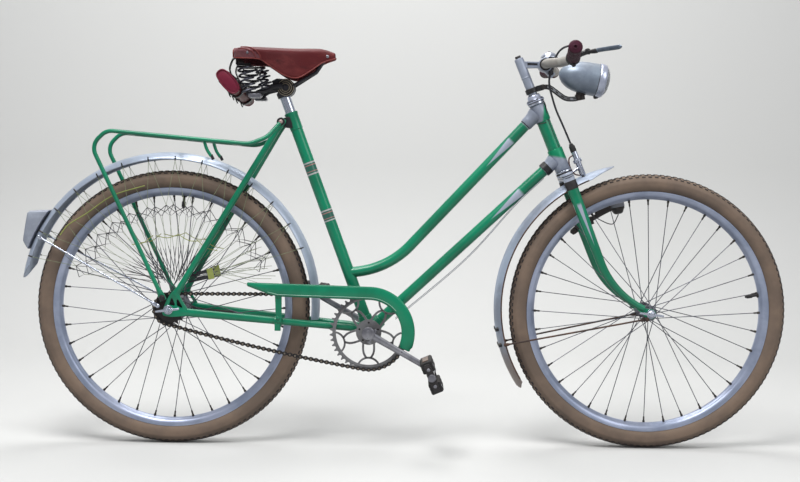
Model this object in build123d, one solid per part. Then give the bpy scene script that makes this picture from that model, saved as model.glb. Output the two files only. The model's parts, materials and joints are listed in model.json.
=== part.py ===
# Vintage step-through bicycle with one rear coaster hub, a plunger brake in front, a carrier,
# mudguards, chain guard, lamp and dynamo.
# Millimetres. While it is laid out, x is forward from the rear axle, y is to the rider's left and
# z is up from the ground. At the end every piece is moved so that the origin is the rider's seat point.
from build123d import *
from math import asin, atan2, ceil, cos, degrees, hypot, pi, radians, sin, sqrt, tan
import os

# Wheels
wheel_radius = 327.0
wheelbase = 1130.0
tyre_width = 46.0
tyre_tread_width = 16.0
rim_radius = 286.0
rim_width = 32.0
rim_depth = 19.0
wheel_sides = 60
spoke_count = 36
spoke_width = 2.0
spoke_crossing = 60.0
front_hub_radius = 12.0
front_flange_radius = 19.0
front_flange_spacing = 64.0
rear_hub_radius = 24.0
rear_flange_radius = 34.0
rear_flange_spacing = 56.0
flange_thickness = 5.0
spoke_offset = 3.0
axle_radius = 4.9
bearing_gap = 0.3
axle_end_front = 66.0
axle_end_rear = 78.0

# Frame geometry
bb_ahead = 470.2
bb_drop = 50.0
seat_angle = 69.7
seat_tube_length = 549.0
head_angle = 67.4
fork_length = 387.0
fork_offset = 59.2
head_tube_length = 166.0
upper_tube_up = 151.5
lower_tube_up = 32.0
upper_tube_slope = 46.8
upper_tube_tail_slope = 8.0
upper_tube_foot = 145.0
upper_tube_bend = 205.0

# Tubes and lugs
main_tube_radius = 12.7
head_tube_radius = 16.0
seat_tube_radius = 14.0
tube_wall = 1.2
lug_wall = 2.2
lug_reach = 46.0
chain_stay_radius = 8.0
chain_stay_waist_x = 325.0
chain_stay_waist_y = 37.0
seat_stay_radius = 7.5
seat_stay_spread = 23.5
stay_bolt_down = 24.0
stay_bolt_back = 27.0
stay_bolt_radius = 5.0
seat_collar_wall = 1.2
bb_shell_radius = 20.5
bb_shell_width = 70.0
bb_bore_radius = 17.2
dropout_thickness = 5.0
dropout_spacing = 115.0
front_dropout_spacing = 96.0
round_sides = 20
small_sides = 16
bb_sides = 24

# Drive
chain_pitch = 12.7
chainwheel_teeth = 44
sprocket_teeth = 18
chain_line = 47.0
roller_radius = 4.0
tooth_height = 3.4
plate_height = 8.4
plate_thickness = 1.1
inner_width = 3.6
tooth_width = 2.4
sprocket_bore = 18.0
spider_units = 5
spider_disc = 30.0
chainwheel_ring_inner = 79.0
crank_length = 170.0
crank_drop = 29.7
crank_plane = 69.0
crank_thickness = 11.0
spindle_radius = 8.0
bearing_radius = 16.6
pedal_axle_radius = 6.0
pedal_width = 96.0
pedal_length = 76.0
pedal_height = 28.0
pedal_tilt = 23.0

# Chain guard
guard_plate_y = -60.0
guard_depth = 6.0
guard_outer_radius = 107.0
guard_inner_radius = 79.0
guard_end_angle = -24.0
guard_tip_x = 186.0
guard_tip_height = 6.0
guard_taper_x = 250.0
guard_sheet = 1.5
guard_lip = 2.0
guard_bracket_x = 257.0

# Mudguards, measured from their own wheel's axle
guard_half_width = 28.5
guard_rise = 15.0
guard_skin = 1.5
guard_step = 6.0
rear_guard_shift = (-8.0, 11.0)
rear_guard_radius = 358.0
rear_guard_angles = (-6.0, 171.0)
front_guard_shift = (-20.5, 8.5)
front_guard_radius = 342.0
front_guard_angles = (100.5, 214.7)
guard_stay_radius = 2.2
rear_guard_stay_angle = 153.0
front_guard_stay_angle = 195.5

# Saddle, post and bag, measured forward and up from the seat tube's top
seat_point_from_post = (-30.0, 152.0)
post_radius = 12.6
post_length = 52.0
clamp_from_post = (-10.5, 58.6)
clamp_radius = 21.0
clamp_width = 44.0
rail_radius = 3.5
rail_spread = 17.0
spring_foot_from_post = (-93.0, 46.0)
spring_head_from_post = (-104.0, 108.0)
spring_spread = 44.0
spring_radius = 15.5
spring_wire = 4.8
spring_turns = 6
hide_thickness = 4.0
cantle_half_width = 52.0
bag_rear_from_post = (-166.0, 92.0)
bag_front_from_post = (-117.0, 29.0)
bag_thickness = 34.0
bag_half_width = 78.0

# Carrier
carrier_radius = 5.0
carrier_half_width = 64.0
carrier_joint_half_width = 37.0
carrier_height = 715.0
carrier_rise = 30.0
carrier_front_x = 190.0
carrier_rear_x = -142.0

# Fork and headset
blade_spread_top = 42.0
blade_bend_radius = 200.0
blade_top_size = (14.0, 9.5)
blade_foot_size = (7.5, 6.5)
blade_sides = 10
crown_drop = 20.0
crown_cap_radius = 19.0
steerer_radius = 12.7
headset_height = 9.0
bearing_race_radius = 20.0
stem_radius = 11.0
stem_length = 118.0
extension_height = 15.0
clamp_from_head = (17.2, 94.2)
bar_clamp_radius = 16.5

# Handlebar
bar_radius = 11.0
bar_half_width = 264.0
grip_radius = 14.5
grip_length = 94.0

# Lamp and dynamo
lamp_tail_from_head = (50.2, 75.8)
lamp_front_from_head = (157.0, 56.5)
lamp_radius = 38.5
lamp_shell = 2.0
lamp_sides = 20
tail_lamp_half_width = 24.0
dynamo_radius = 18.0
cable_radius = 2.5

X, Y, Z = Vector(1, 0, 0), Vector(0, 1, 0), Vector(0, 0, 1)


def at(x, z, y=0.0):
    return Vector(x, y, z)


def along(angle):
    """The direction in the bicycle's plane that rises by angle from forward."""
    return Vector(cos(radians(angle)), 0, sin(radians(angle)))


rear_axle = at(0, wheel_radius)
front_axle = at(wheelbase, wheel_radius)
bracket = at(bb_ahead, wheel_radius - bb_drop)
steer_up = along(180 - head_angle)
steer_back = along(270 - head_angle)
seat_up = along(180 - seat_angle)
crown_race = front_axle + steer_up * fork_length + steer_back * fork_offset
head_top = crown_race + steer_up * head_tube_length
seat_top = bracket + seat_up * seat_tube_length
stay_top = seat_top - seat_up * stay_bolt_down - X * stay_bolt_back
dropout_y = dropout_spacing / 2 + dropout_thickness / 2
front_dropout_y = front_dropout_spacing / 2 + dropout_thickness / 2


def by(place, shift, y=0.0):
    """The point that lies forward and up from a place, and y to the side."""
    return place + Vector(shift[0], y, shift[1])


def rod(start, end, radius, bore=0.0, sides=round_sides):
    """A bar from start to end with flat sides, or round with none; hollow when it has a bore."""
    line = end - start
    plane = Plane(origin=start, z_dir=line)
    outer = RegularPolygon(radius, sides) if sides else Circle(radius)
    bar = extrude(plane * outer, line.length)
    if bore:
        inner = RegularPolygon(bore / cos(pi / sides), sides) if sides else Circle(bore)
        bar -= extrude(plane * inner, line.length)
    return bar


def disc(centre, radius, width, sides=round_sides, normal=Y):
    """A plate centred on a point."""
    return rod(centre - normal * (width / 2), centre + normal * (width / 2), radius, sides=sides)


def walled(rings):
    """A solid with flat walls between rings of equally many points; the first and last ring close it."""
    panels = [rings[0], rings[-1]]
    for low, high in zip(rings, rings[1:]):
        for first in range(len(low)):
            second = (first + 1) % len(low)
            a, b, c, d = low[first], low[second], high[second], high[first]
            twist = abs((b - a).cross(c - a).normalized().dot(d - a))
            panels += [[a, b, c, d]] if twist < 0.0001 else [[a, b, c], [a, c, d]]
    return Solid(Shell([Face(Wire.make_polygon(panel, close=True)) for panel in panels]))


def turned(start, way, profile, sides):
    """A turned form from (distance along the way, radius) pairs, with flat sides."""
    across = way.cross(Y if abs(way.Y) < 0.5 else X).normalized()
    other = way.cross(across)
    turns = [2 * pi * step / sides for step in range(sides)]
    rings = []
    for distance, radius in profile:
        rings.append([start + way * distance + (across * cos(t) + other * sin(t)) * radius for t in turns])
    return walled(rings)


def rounded_route(points, bends, chords):
    """The points with each corner replaced by a few short chords of an arc."""
    radii = bends if isinstance(bends, list) else [bends] * (len(points) - 2)
    route = [points[0]]
    for before, corner, after, radius in zip(points, points[1:], points[2:], radii):
        back, ahead = (before - corner).normalized(), (after - corner).normalized()
        turn = pi - radians(back.get_angle(ahead))
        tangent = radius * tan(turn / 2)
        middle = corner + (back + ahead).normalized() * (radius / cos(turn / 2))
        start, end = corner + back * tangent - middle, corner + ahead * tangent - middle
        for step in range(chords + 1):
            share = step / chords
            route.append(middle + (start * sin((1 - share) * turn) + end * sin(share * turn)) / sin(turn))
    return route + [points[-1]]


def bent(points, radius, bends, sides=8, chords=3):
    """A bar with flat sides along straight runs and short chords round each bend."""
    route = rounded_route(points, bends, chords)
    plane = Plane(origin=route[0], z_dir=route[1] - route[0])
    path = Polyline(*route)
    return sweep(plane * RegularPolygon(radius, sides), path=path, transition=Transition.RIGHT)


def slab(points, y_low, y_high):
    """A flat plate from an outline of (x, z) points, between two planes."""
    face = make_face(Polyline(*[at(x, z, y_low) for x, z in points], close=True))
    return extrude(face, amount=y_high - y_low, dir=Y)


def both(piece):
    """The piece and its mirror image on the other side."""
    return [piece, mirror(piece, about=Plane.XZ)]


nodes = {}


def add(name, *pieces):
    """Keep a node as one compound of plain solids."""
    solids = []
    for piece in pieces:
        for item in (piece if isinstance(piece, list) else [piece]):
            solids.extend(item.solids())
    nodes[name] = solids[0] if len(solids) == 1 else Compound(solids)


# Frame tubes and lugs

upper_join = crown_race + steer_up * upper_tube_up
lower_join = crown_race + steer_up * lower_tube_up
seat_join = bracket + seat_up * upper_tube_foot


def upper_corner():
    """Where the upper tube's sloping run would meet its low run."""
    run, low = along(180 + upper_tube_slope), along(upper_tube_tail_slope)
    gap = seat_join - upper_join
    spread = run.X * low.Z - run.Z * low.X
    reach = (gap.X * low.Z - gap.Z * low.X) / spread
    return upper_join + run * reach


def head_cut():
    longer = steer_up * lug_reach
    return rod(crown_race - longer, head_top + longer, head_tube_radius)


def seat_cut():
    return rod(bracket, seat_top, seat_tube_radius)


def bracket_cut():
    return disc(bracket, bb_shell_radius, bb_shell_width * 2, bb_sides)


def head_tube():
    return rod(crown_race, head_top, head_tube_radius, head_tube_radius - tube_wall * 1.5)


def upper_tube():
    route = [upper_join, upper_corner(), seat_join]
    tube = bent(route, main_tube_radius, upper_tube_bend, 12, 6)
    return tube - head_cut() - seat_cut()


def lower_tube():
    return rod(lower_join, bracket, main_tube_radius) - head_cut() - bracket_cut() - seat_cut()


def seat_tube():
    bore = seat_tube_radius - tube_wall
    return rod(bracket, seat_top, seat_tube_radius, bore) - bracket_cut()


def head_lug(join, tube_end, low, high, sides):
    """A sleeve round the head tube with a socket for the tube that meets it."""
    outer = head_tube_radius + lug_wall
    collar = rod(crown_race + steer_up * low, crown_race + steer_up * high, outer, sides=small_sides)
    socket_way = (tube_end - join).normalized()
    socket = rod(join, join + socket_way * lug_reach, main_tube_radius + lug_wall + 0.4, sides=small_sides)
    tube = rod(join, join + socket_way * lug_reach * 2, main_tube_radius, sides=sides)
    return collar + socket - head_cut() - tube


def upper_head_lug():
    return head_lug(upper_join, upper_corner(), upper_tube_up - 26, head_tube_length, 12)


def lower_head_lug():
    return head_lug(lower_join, bracket, 0, lower_tube_up + 22, round_sides)


def bottom_bracket_shell():
    half = Y * (bb_shell_width / 2)
    return rod(bracket - half, bracket + half, bb_shell_radius, bb_bore_radius, bb_sides)


def stay_bolt():
    half = Y * (seat_stay_spread + seat_stay_radius + 12)
    return rod(stay_top - half, stay_top + half, stay_bolt_radius, sides=8)


# The left dropout's outline, forward and up from the axle
dropout_outline = [(-14, -8), (-8, 14), (8, 42), (24, 40), (42, 6), (44, -13), (6, -16), (-6, -14)]


def dropout():
    """The left plate that carries the axle, before its hole."""
    inner = dropout_spacing / 2
    outline = [(rear_axle.X + x, rear_axle.Z + z) for x, z in dropout_outline]
    return slab(outline, inner, inner + dropout_thickness)


def rear_dropouts():
    hole = rod(rear_axle, rear_axle + Y * dropout_spacing, axle_radius, sides=0)
    return both(dropout() - hole)


def seat_stays():
    top = stay_top + Y * seat_stay_spread
    foot = by(rear_axle, (16, 34), dropout_y)
    beyond = (top - foot).normalized() * 4
    stay = rod(top + beyond, foot, seat_stay_radius, sides=10)
    return both(stay - seat_cut() - dropout() - stay_bolt())


def chain_stays():
    start = bracket + Vector(-6, 26, 4)
    foot = by(rear_axle, (32, -5), dropout_y)
    share = (chain_stay_waist_x - foot.X) / (start.X - foot.X)
    waist = at(chain_stay_waist_x, foot.Z + (start.Z - foot.Z) * share, chain_stay_waist_y)
    stay = bent([start, waist, foot], chain_stay_radius, 400, 10)
    return both(stay - bracket_cut() - dropout())


# Saddle, post and bag

def seat_lug():
    """The collar at the seat tube's top with the bolt that holds stays and carrier."""
    collar = rod(seat_top - seat_up * 40, seat_top - seat_up * 2, seat_tube_radius + seat_collar_wall)
    lug_y = seat_stay_spread - seat_stay_radius - 1
    outline = [(-8, -7), (-8, 7), (22, 14), (22, -12)]
    ears = slab([(stay_top.X + x, stay_top.Z + z) for x, z in outline], -lug_y, lug_y)
    return collar + ears + stay_bolt() - seat_cut()


post_top = seat_top + seat_up * post_length
clamp_centre = by(seat_top, clamp_from_post)
spring_foot = by(seat_top, spring_foot_from_post)
spring_head = by(seat_top, spring_head_from_post)


def seat_post():
    return rod(seat_top - seat_up * 60, post_top, post_radius)


def saddle_clamp():
    """The round ratchet clamp on the post's top, with its bolt across."""
    drum = disc(clamp_centre, clamp_radius, clamp_width, 20)
    bolt = disc(clamp_centre, 6.5, clamp_width + 20, 8)
    socket = rod(post_top - seat_up * 22, post_top + seat_up * 2, post_radius + 3, sides=12)
    return drum + bolt + socket - rod(seat_top, post_top, post_radius) - saddle_frame()


# The hide's cross sections, forward and up from the seat tube's top
# Columns: x, half width, crown height, edge height, skirt height
saddle_slices = [
    (-127, 58, 149.0, 138, 126),
    (-117, 80, 150.5, 140, 122),
    (-85, 90, 151.5, 141, 112),
    (-45, 74, 151.5, 140, 94),
    (-12, 50, 151.5, 140, 80),
    (18, 36, 151.5, 140, 78),
    (48, 27, 152.0, 141, 90),
    (76, 20, 151.0, 141, 107),
    (104, 12, 142.0, 136, 125),
]
# Columns: share of the half width, share of the rise from edge to crown
saddle_bow = [(1.0, 0.0), (0.9, 0.45), (0.62, 0.83), (0.22, 1.0)]


def saddle_section(x, half_width, crown, edge, skirt, inset=0.0):
    """One slice across the hide, or across the hollow under it when it has an inset."""
    half, top = half_width - inset, crown - inset
    low = skirt - 12 if inset else skirt
    side = [(half * share, edge - inset + (top - edge + inset) * rise) for share, rise in saddle_bow]
    outline = [(half * 0.96, low)] + side + [(-y, z) for y, z in reversed(side)] + [(-half * 0.96, low)]
    return [by(seat_top, (x, z), y) for y, z in outline]


def saddle_leather():
    """The hide, open below, with deep flaps beside the springs."""
    hide = walled([saddle_section(*row) for row in saddle_slices])
    ends = {0: hide_thickness, len(saddle_slices) - 1: -hide_thickness}
    hollow = [saddle_section(row[0] + ends.get(number, 0), *row[1:], inset=hide_thickness)
              for number, row in enumerate(saddle_slices)]
    return hide - walled(hollow)


def saddle_frame():
    """Wire rails from the nose past the clamp to a bar that carries the springs."""
    nose = by(seat_top, (88, 137))
    bend = by(seat_top, (60, 96))
    wires = []
    for side in (-1, 1):
        route = [nose + Y * side * 5, bend + Y * side * 8, by(clamp_centre, (16, 4), side * rail_spread),
                 by(clamp_centre, (-30, -6), side * rail_spread), by(spring_foot, (1, -5), side * spring_spread)]
        wires.append(bent(route, rail_radius, [20, 30, 60], 8, 2))
    reach = Y * (spring_spread + 14)
    low = by(spring_foot, (0, -5.4))
    bar = rod(low - reach, low + reach, 5, sides=8)
    tip = rod(nose - Y * 5, nose + Y * 5, 5, sides=8)
    return wires[0] + wires[1] + bar + tip


def saddle_cantle():
    """The plate on the springs, with the upright strip that the hide's rear is riveted to."""
    floor = spring_head.Z + 0.4
    rear = seat_top.X + saddle_slices[0][0] + hide_thickness + 0.3
    outline = [(rear, floor), (rear + 32, floor), (rear + 32, floor + 3), (rear + 3, floor + 3),
               (rear + 3, floor + 20), (rear, floor + 20)]
    return slab(outline, -cantle_half_width, cantle_half_width)


def spring(side):
    """A coil of flat-sided wire in straight steps round a leaning axis."""
    start, end = spring_foot + Y * side * spring_spread, spring_head + Y * side * spring_spread
    out = (end - start).normalized().cross(Y).normalized()
    steps = 6
    count = steps * spring_turns
    points = []
    for step in range(count + 1):
        turn = 2 * pi * step / steps
        middle = start + (end - start) * (step / count)
        points.append(middle + out * spring_radius * cos(turn) + Y * spring_radius * sin(turn))
    plane = Plane(origin=points[0], z_dir=points[1] - points[0])
    wire = plane * Rectangle(spring_wire, spring_wire)
    return sweep(wire, path=Polyline(*points), transition=Transition.RIGHT)


def saddle_springs():
    return [spring(-1), spring(1)]


def saddle_bag():
    """An oval roll bag hung across behind the saddle."""
    rear, front = by(seat_top, bag_rear_from_post), by(seat_top, bag_front_from_post)
    line = front - rear
    way, out = line.normalized(), Y.cross(line.normalized())
    # Columns: side, share of the end's full size
    rings = []
    for y, share in ((-bag_half_width, 0.9), (-bag_half_width + 6, 1.0), (bag_half_width - 6, 1.0), (bag_half_width, 0.9)):
        length, half = line.length / 2 * share, bag_thickness / 2 * share
        outline = [(-length, -half * 0.4), (-length, half * 0.4), (-length * 0.7, half), (length * 0.7, half),
                   (length, half * 0.4), (length, -half * 0.4), (length * 0.7, -half), (-length * 0.7, -half)]
        rings.append([rear + line * 0.5 + Y * y + way * a + out * b for a, b in outline])
    return walled(rings)


# Carrier, tail lamp, guard and stays

def carrier_z(x):
    """The deck's height: it rises a little to the rear."""
    return carrier_height + carrier_rise * (carrier_front_x - x) / (carrier_front_x - carrier_rear_x)


# Where the deck's cross tubes lie, and the luggage prongs' points (x, below the deck)
carrier_cross_x = (150.0, 20.0, -110.0)
prong_route = [(84, 3), (91, 21), (101, 34)]
prong_half_width = 58.0


def carrier():
    """Two side tubes from the seat lug over the wheel and down to the axle, with cross tubes."""
    pieces = []
    for side in (-1, 1):
        width = carrier_half_width * side
        route = [by(stay_top, (3, 3), carrier_joint_half_width * side), by(stay_top, (-30, -37), width * 0.88),
                 at(carrier_front_x, carrier_z(carrier_front_x) + 1, width),
                 at(carrier_rear_x, carrier_z(carrier_rear_x), width),
                 at(carrier_rear_x - 36, carrier_z(carrier_rear_x) - 41, width), by(rear_axle, (-17, 37), width)]
        pieces.append(bent(route, carrier_radius, [45, 60, 34, 34], 8, 2))
        pieces.append(disc(by(rear_axle, (-13, 30), width), 9, carrier_radius, 12))
        prong = [at(x, carrier_z(x) - drop, prong_half_width * side) for x, drop in prong_route]
        pieces.append(bent(prong, 3, 12, 6, 2))
    for x in carrier_cross_x:
        half = Y * carrier_half_width
        pieces.append(rod(at(x, carrier_z(x)) - half, at(x, carrier_z(x)) + half, carrier_radius * 0.8, sides=8))
    prong_bar = at(prong_route[0][0], carrier_z(prong_route[0][0]))
    pieces.append(rod(prong_bar - half, prong_bar + half, carrier_radius * 0.8, sides=8))
    return pieces[0].fuse(*pieces[1:]) - stay_bolt()


rear_guard_centre = by(rear_axle, rear_guard_shift)
front_guard_centre = by(front_axle, front_guard_shift)


def guard_section():
    """The mudguard's curved section as (outward, sideways) points of a strip of flats."""
    bow = (guard_half_width ** 2 + guard_rise ** 2) / (2 * guard_rise)
    half = asin(guard_half_width / bow)
    thin = bow - guard_skin
    places = [half * share for share in (-1, -0.5, 0, 0.5, 1)]
    outer = [(bow * cos(a) - bow, bow * sin(a)) for a in places]
    inner = [(thin * cos(a) - bow, thin * sin(a)) for a in reversed(places)]
    return outer + inner


def mudguard(centre, radius, first, last):
    """A strip of that section bent round the wheel in short straight steps."""
    count = ceil((last - first) / guard_step)
    angles = [first + (last - first) * step / count for step in range(count + 1)]
    path = Polyline(*[centre + along(a) * radius for a in angles])
    plane = Plane(origin=centre + along(first) * radius, x_dir=along(first), z_dir=along(first + 90))
    section = plane * make_face(Polyline(*[(x, -y) for x, y in guard_section()], close=True))
    return sweep(section, path=path, transition=Transition.RIGHT)


def rear_mudguard():
    return mudguard(rear_guard_centre, rear_guard_radius, *rear_guard_angles)


def front_mudguard():
    """The front mudguard, with its tail torn off in a point."""
    guard = mudguard(front_guard_centre, front_guard_radius, *front_guard_angles)
    last = front_guard_angles[1]
    end = front_guard_centre + along(last) * front_guard_radius
    tear = Plane(origin=end, x_dir=along(last + 90), z_dir=along(last))
    notch = tear * make_face(Polyline((6, 60), (6, 20), (-22, 60), close=True))
    return guard - extrude(notch, amount=80, both=True)


def guard_edge(centre, radius, angle, side):
    """A point on the mudguard's lower edge, just outside it."""
    edge = centre + along(angle) * (radius - guard_rise + 4)
    return edge + Y * side * (guard_half_width + guard_stay_radius + 0.2)


def rear_mudguard_stays():
    stays = []
    for side in (-1, 1):
        top = guard_edge(rear_guard_centre, rear_guard_radius, rear_guard_stay_angle, side)
        stays.append(rod(top, by(rear_axle, (-26, 10), side * 62), guard_stay_radius, sides=6))
    return stays


def front_mudguard_stays():
    stays = []
    for side in (-1, 1):
        top = guard_edge(front_guard_centre, front_guard_radius, front_guard_stay_angle, side)
        foot = by(front_axle, (-12, -12), side * (front_dropout_y + dropout_thickness / 2 + guard_stay_radius + 0.3))
        stays.append(rod(top, foot, guard_stay_radius, sides=6))
    return stays


# The tail lamp's outline, forward and up from the rear axle
tail_lamp_outline = [(-290, 229), (-345, 226), (-356, 160), (-344, 135), (-330, 153), (-300, 213)]


def tail_lamp():
    """The housing on the rear mudguard, flat on top and upright behind, with its lens knob."""
    outline = [(rear_axle.X + x, rear_axle.Z + z) for x, z in tail_lamp_outline]
    body = slab(outline, -tail_lamp_half_width, tail_lamp_half_width)
    inside = disc(rear_guard_centre, rear_guard_radius + 0.3, tail_lamp_half_width * 3, sides=0)
    lens = rod(by(rear_axle, (-346, 211)), by(rear_axle, (-352, 211.5)), 7, sides=12)
    return body - inside + lens


# Chain guard, chain and sprockets

def guard_face(inset):
    """The guard's outline in its plane, drawn in by inset: a bar that tapers behind and an arc in front."""
    outer, inner = guard_outer_radius - inset, guard_inner_radius + inset
    top, low = bracket.Z + outer, bracket.Z + inner
    tip = guard_tip_x + inset * 3
    start_out, start_in = at(bracket.X, top), at(bracket.X, low)
    last = guard_end_angle + degrees(inset / outer)
    end_out, end_in = bracket + along(last) * outer, bracket + along(last) * inner
    return make_face([
        Line(at(tip, top), start_out),
        ThreePointArc(start_out, bracket + along(40) * outer, end_out),
        Line(end_out, end_in),
        ThreePointArc(end_in, bracket + along(40) * inner, start_in),
        Line(start_in, at(guard_taper_x, low)),
        Line(at(guard_taper_x, low), at(tip, top - guard_tip_height + inset * 2)),
        Line(at(tip, top - guard_tip_height + inset * 2), at(tip, top)),
    ])


def chain_guard():
    """A pressed plate whose edge is turned in all round."""
    outside = guard_plate_y - guard_depth / 2
    shell = Pos(0, outside, 0) * extrude(guard_face(0), amount=guard_depth, dir=Y)
    hollow = Pos(0, outside + guard_sheet, 0) * extrude(guard_face(guard_lip), amount=guard_depth, dir=Y)
    return shell - hollow


def chain_guard_bracket():
    """A flat strap from the guard down towards the chain stay."""
    x = guard_bracket_x
    low, high = bracket.Z + 21, bracket.Z + guard_inner_radius + 10
    return slab([(x - 8, low), (x + 8, low), (x + 8, high), (x - 8, high)], -57, -55)


rear_sprocket_radius = chain_pitch / (2 * sin(pi / sprocket_teeth))
chainwheel_radius = chain_pitch / (2 * sin(pi / chainwheel_teeth))


def tooth_outline(teeth, tip, root, first=0.0):
    """Flat-sided teeth between root and tip radius; a gap lies at the first angle."""
    step = 2 * pi / teeth
    points = []
    for tooth in range(teeth):
        middle = first + step * (tooth + 0.5)
        for share, radius in ((-0.34, root), (-0.10, tip), (0.10, tip), (0.34, root)):
            points.append((radius * cos(middle + share * step), radius * sin(middle + share * step)))
    return points


def toothed_plate(centre, teeth, pitch_radius, first, bore):
    middle = centre - Y * chain_line
    plane = Plane(origin=middle, x_dir=X, z_dir=-Y)
    outline = tooth_outline(teeth, pitch_radius + tooth_height, pitch_radius - roller_radius, first)
    plate = extrude(plane * make_face(Polyline(*outline, close=True)), amount=tooth_width / 2, both=True)
    return plate - disc(middle, bore, tooth_width * 2, teeth)


def rear_sprocket():
    phase = -phase_at(rear_axle, "sprocket")
    return toothed_plate(rear_axle, sprocket_teeth, rear_sprocket_radius, phase, sprocket_bore)


def chain_loop():
    """The loop's measures: top and low tangent angles, straight run, the two arcs and the even link count."""
    gap = bracket - rear_axle
    span, tilt = hypot(gap.X, gap.Z), atan2(gap.Z, gap.X)
    lean = asin((chainwheel_radius - rear_sprocket_radius) / span)
    run = span * cos(lean)
    top, low = tilt + pi / 2 + lean, tilt - pi / 2 - lean
    big_arc = chainwheel_radius * (top - low)
    small_arc = rear_sprocket_radius * (2 * pi - top + low)
    links = 2 * ceil((2 * run + big_arc + small_arc) / chain_pitch / 2)
    return top, low, run, big_arc, small_arc, links


def chain_points():
    """Each pin as (x, z, where), where it lies being a run, the chainwheel or the sprocket."""
    top, low, run, big_arc, small_arc, links = chain_loop()
    slack = links * chain_pitch - 2 * run - big_arc - small_arc
    sag = sqrt(3 * run * slack / 8)
    big, small = chainwheel_radius, rear_sprocket_radius
    places = []
    for pin in range(links):
        s = pin * chain_pitch
        if s < run:
            start = rear_axle + along(degrees(top)) * small
            point, where = start + (bracket + along(degrees(top)) * big - start) * (s / run), "run"
        elif s < run + big_arc:
            point, where = bracket + along(degrees(top - (s - run) / big)) * big, "wheel"
        elif s < 2 * run + slack + big_arc:
            share = (s - run - big_arc) / (run + slack)
            start = bracket + along(degrees(low)) * big
            end = rear_axle + along(degrees(low)) * small
            point, where = start + (end - start) * share - Z * (sag * 4 * share * (1 - share)), "run"
        else:
            angle = low - (s - 2 * run - slack - big_arc) / small
            point, where = rear_axle + along(degrees(angle)) * small, "sprocket"
        places.append((point.X, point.Z, where))
    return places


def phase_at(centre, kind):
    """The angle of the first pin that lies on a wheel, so that the teeth stand between the pins."""
    for x, z, where in chain_points():
        if where == kind:
            return atan2(z - centre.Z, x - centre.X)


def link_plate(start, end, y_in, y_out):
    """One side plate between two pins, as a flat bar longer than the pitch."""
    line = Vector(end[0] - start[0], 0, end[1] - start[1]).normalized()
    up = Vector(-line.Z, 0, line.X)
    reach, half = 3.6, plate_height / 2
    a, b = at(start[0], start[1]) - line * reach, at(end[0], end[1]) + line * reach
    corners = [a + up * half, b + up * half, b - up * half, a - up * half]
    low, high = sorted((y_in, y_out))
    return slab([(c.X, c.Z) for c in corners], low, high)


def chain():
    """Every link as a pair of plates; on the straight runs the inner links also hold their rollers."""
    pins = chain_points()
    inner_face = inner_width / 2
    middle_face = inner_face + plate_thickness
    outer_face = middle_face + plate_thickness
    links = []
    for index, pin in enumerate(pins):
        after = pins[(index + 1) % len(pins)]
        near = [pins[(index + step) % len(pins)][2] for step in range(-3, 5)]
        if index % 2 == 0 and set(near) == {"run"}:
            links.append(link_plate(pin, after, -chain_line - middle_face, -chain_line + middle_face))
            continue
        low, high = (middle_face, outer_face) if index % 2 else (inner_face, middle_face)
        for side in (-1, 1):
            links.append(link_plate(pin, after, -chain_line + side * low, -chain_line + side * high))
    return links[0].fuse(*links[1:])


# Each openwork bar of a spider unit runs through these points
# Columns: radius, degrees from the unit's middle
spider_bar = [(spider_disc - 4, 26), (44, 16), (60, 3.5), (70, 7), (chainwheel_ring_inner + 1, 17)]
spider_bar_width = 5.0


def chainwheel():
    """The toothed ring, its middle disc and five openwork arms between them."""
    phase = -phase_at(bracket, "wheel")
    plate = toothed_plate(bracket, chainwheel_teeth, chainwheel_radius, phase, chainwheel_ring_inner)
    middle = bracket - Y * chain_line
    plate += disc(middle, spider_disc, tooth_width, 30)
    for unit in range(spider_units):
        for side in (-1, 1):
            route = [middle + along(unit * 360 / spider_units - 90 + side * turn) * radius for radius, turn in spider_bar]
            start = Plane(origin=route[0], z_dir=route[1] - route[0], x_dir=Y)
            bar = start * Rectangle(tooth_width, spider_bar_width)
            plate += sweep(bar, path=Polyline(*route), transition=Transition.RIGHT)
    return plate - disc(middle, spindle_radius, tooth_width * 2)


def crank_way(side):
    """The right crank points forward and down, the left one opposite."""
    return along(-crank_drop) if side < 0 else along(180 - crank_drop)


def crank_arm(side):
    """A forged arm, thick at the spindle and slim at the pedal's eye."""
    start = bracket + Y * crank_plane * side
    plane = Plane(origin=start, x_dir=crank_way(side), z_dir=Y)
    outline = [(0, 9), (20, 8), (crank_length - 14, 6.5), (crank_length, 8),
               (crank_length, -8), (crank_length - 14, -6.5), (20, -8), (0, -9)]
    arm = extrude(plane * make_face(Polyline(*outline, close=True)), amount=crank_thickness / 2, both=True)
    boss = disc(start, 15, crank_thickness + 4, 20)
    eye = disc(start + crank_way(side) * crank_length, 11, crank_thickness, 16)
    hole = pedal_axle_radius / cos(pi / round_sides)
    return arm + boss + eye - disc(start + crank_way(side) * crank_length, hole, crank_thickness * 2)


def cranks():
    """Both arms and the spindle that joins them through the bracket."""
    spindle = disc(bracket, spindle_radius, (crank_plane + 10) * 2)
    bearing = disc(bracket, bearing_radius, bb_shell_width - 4, small_sides)
    return crank_arm(-1) + crank_arm(1) + spindle + bearing


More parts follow.
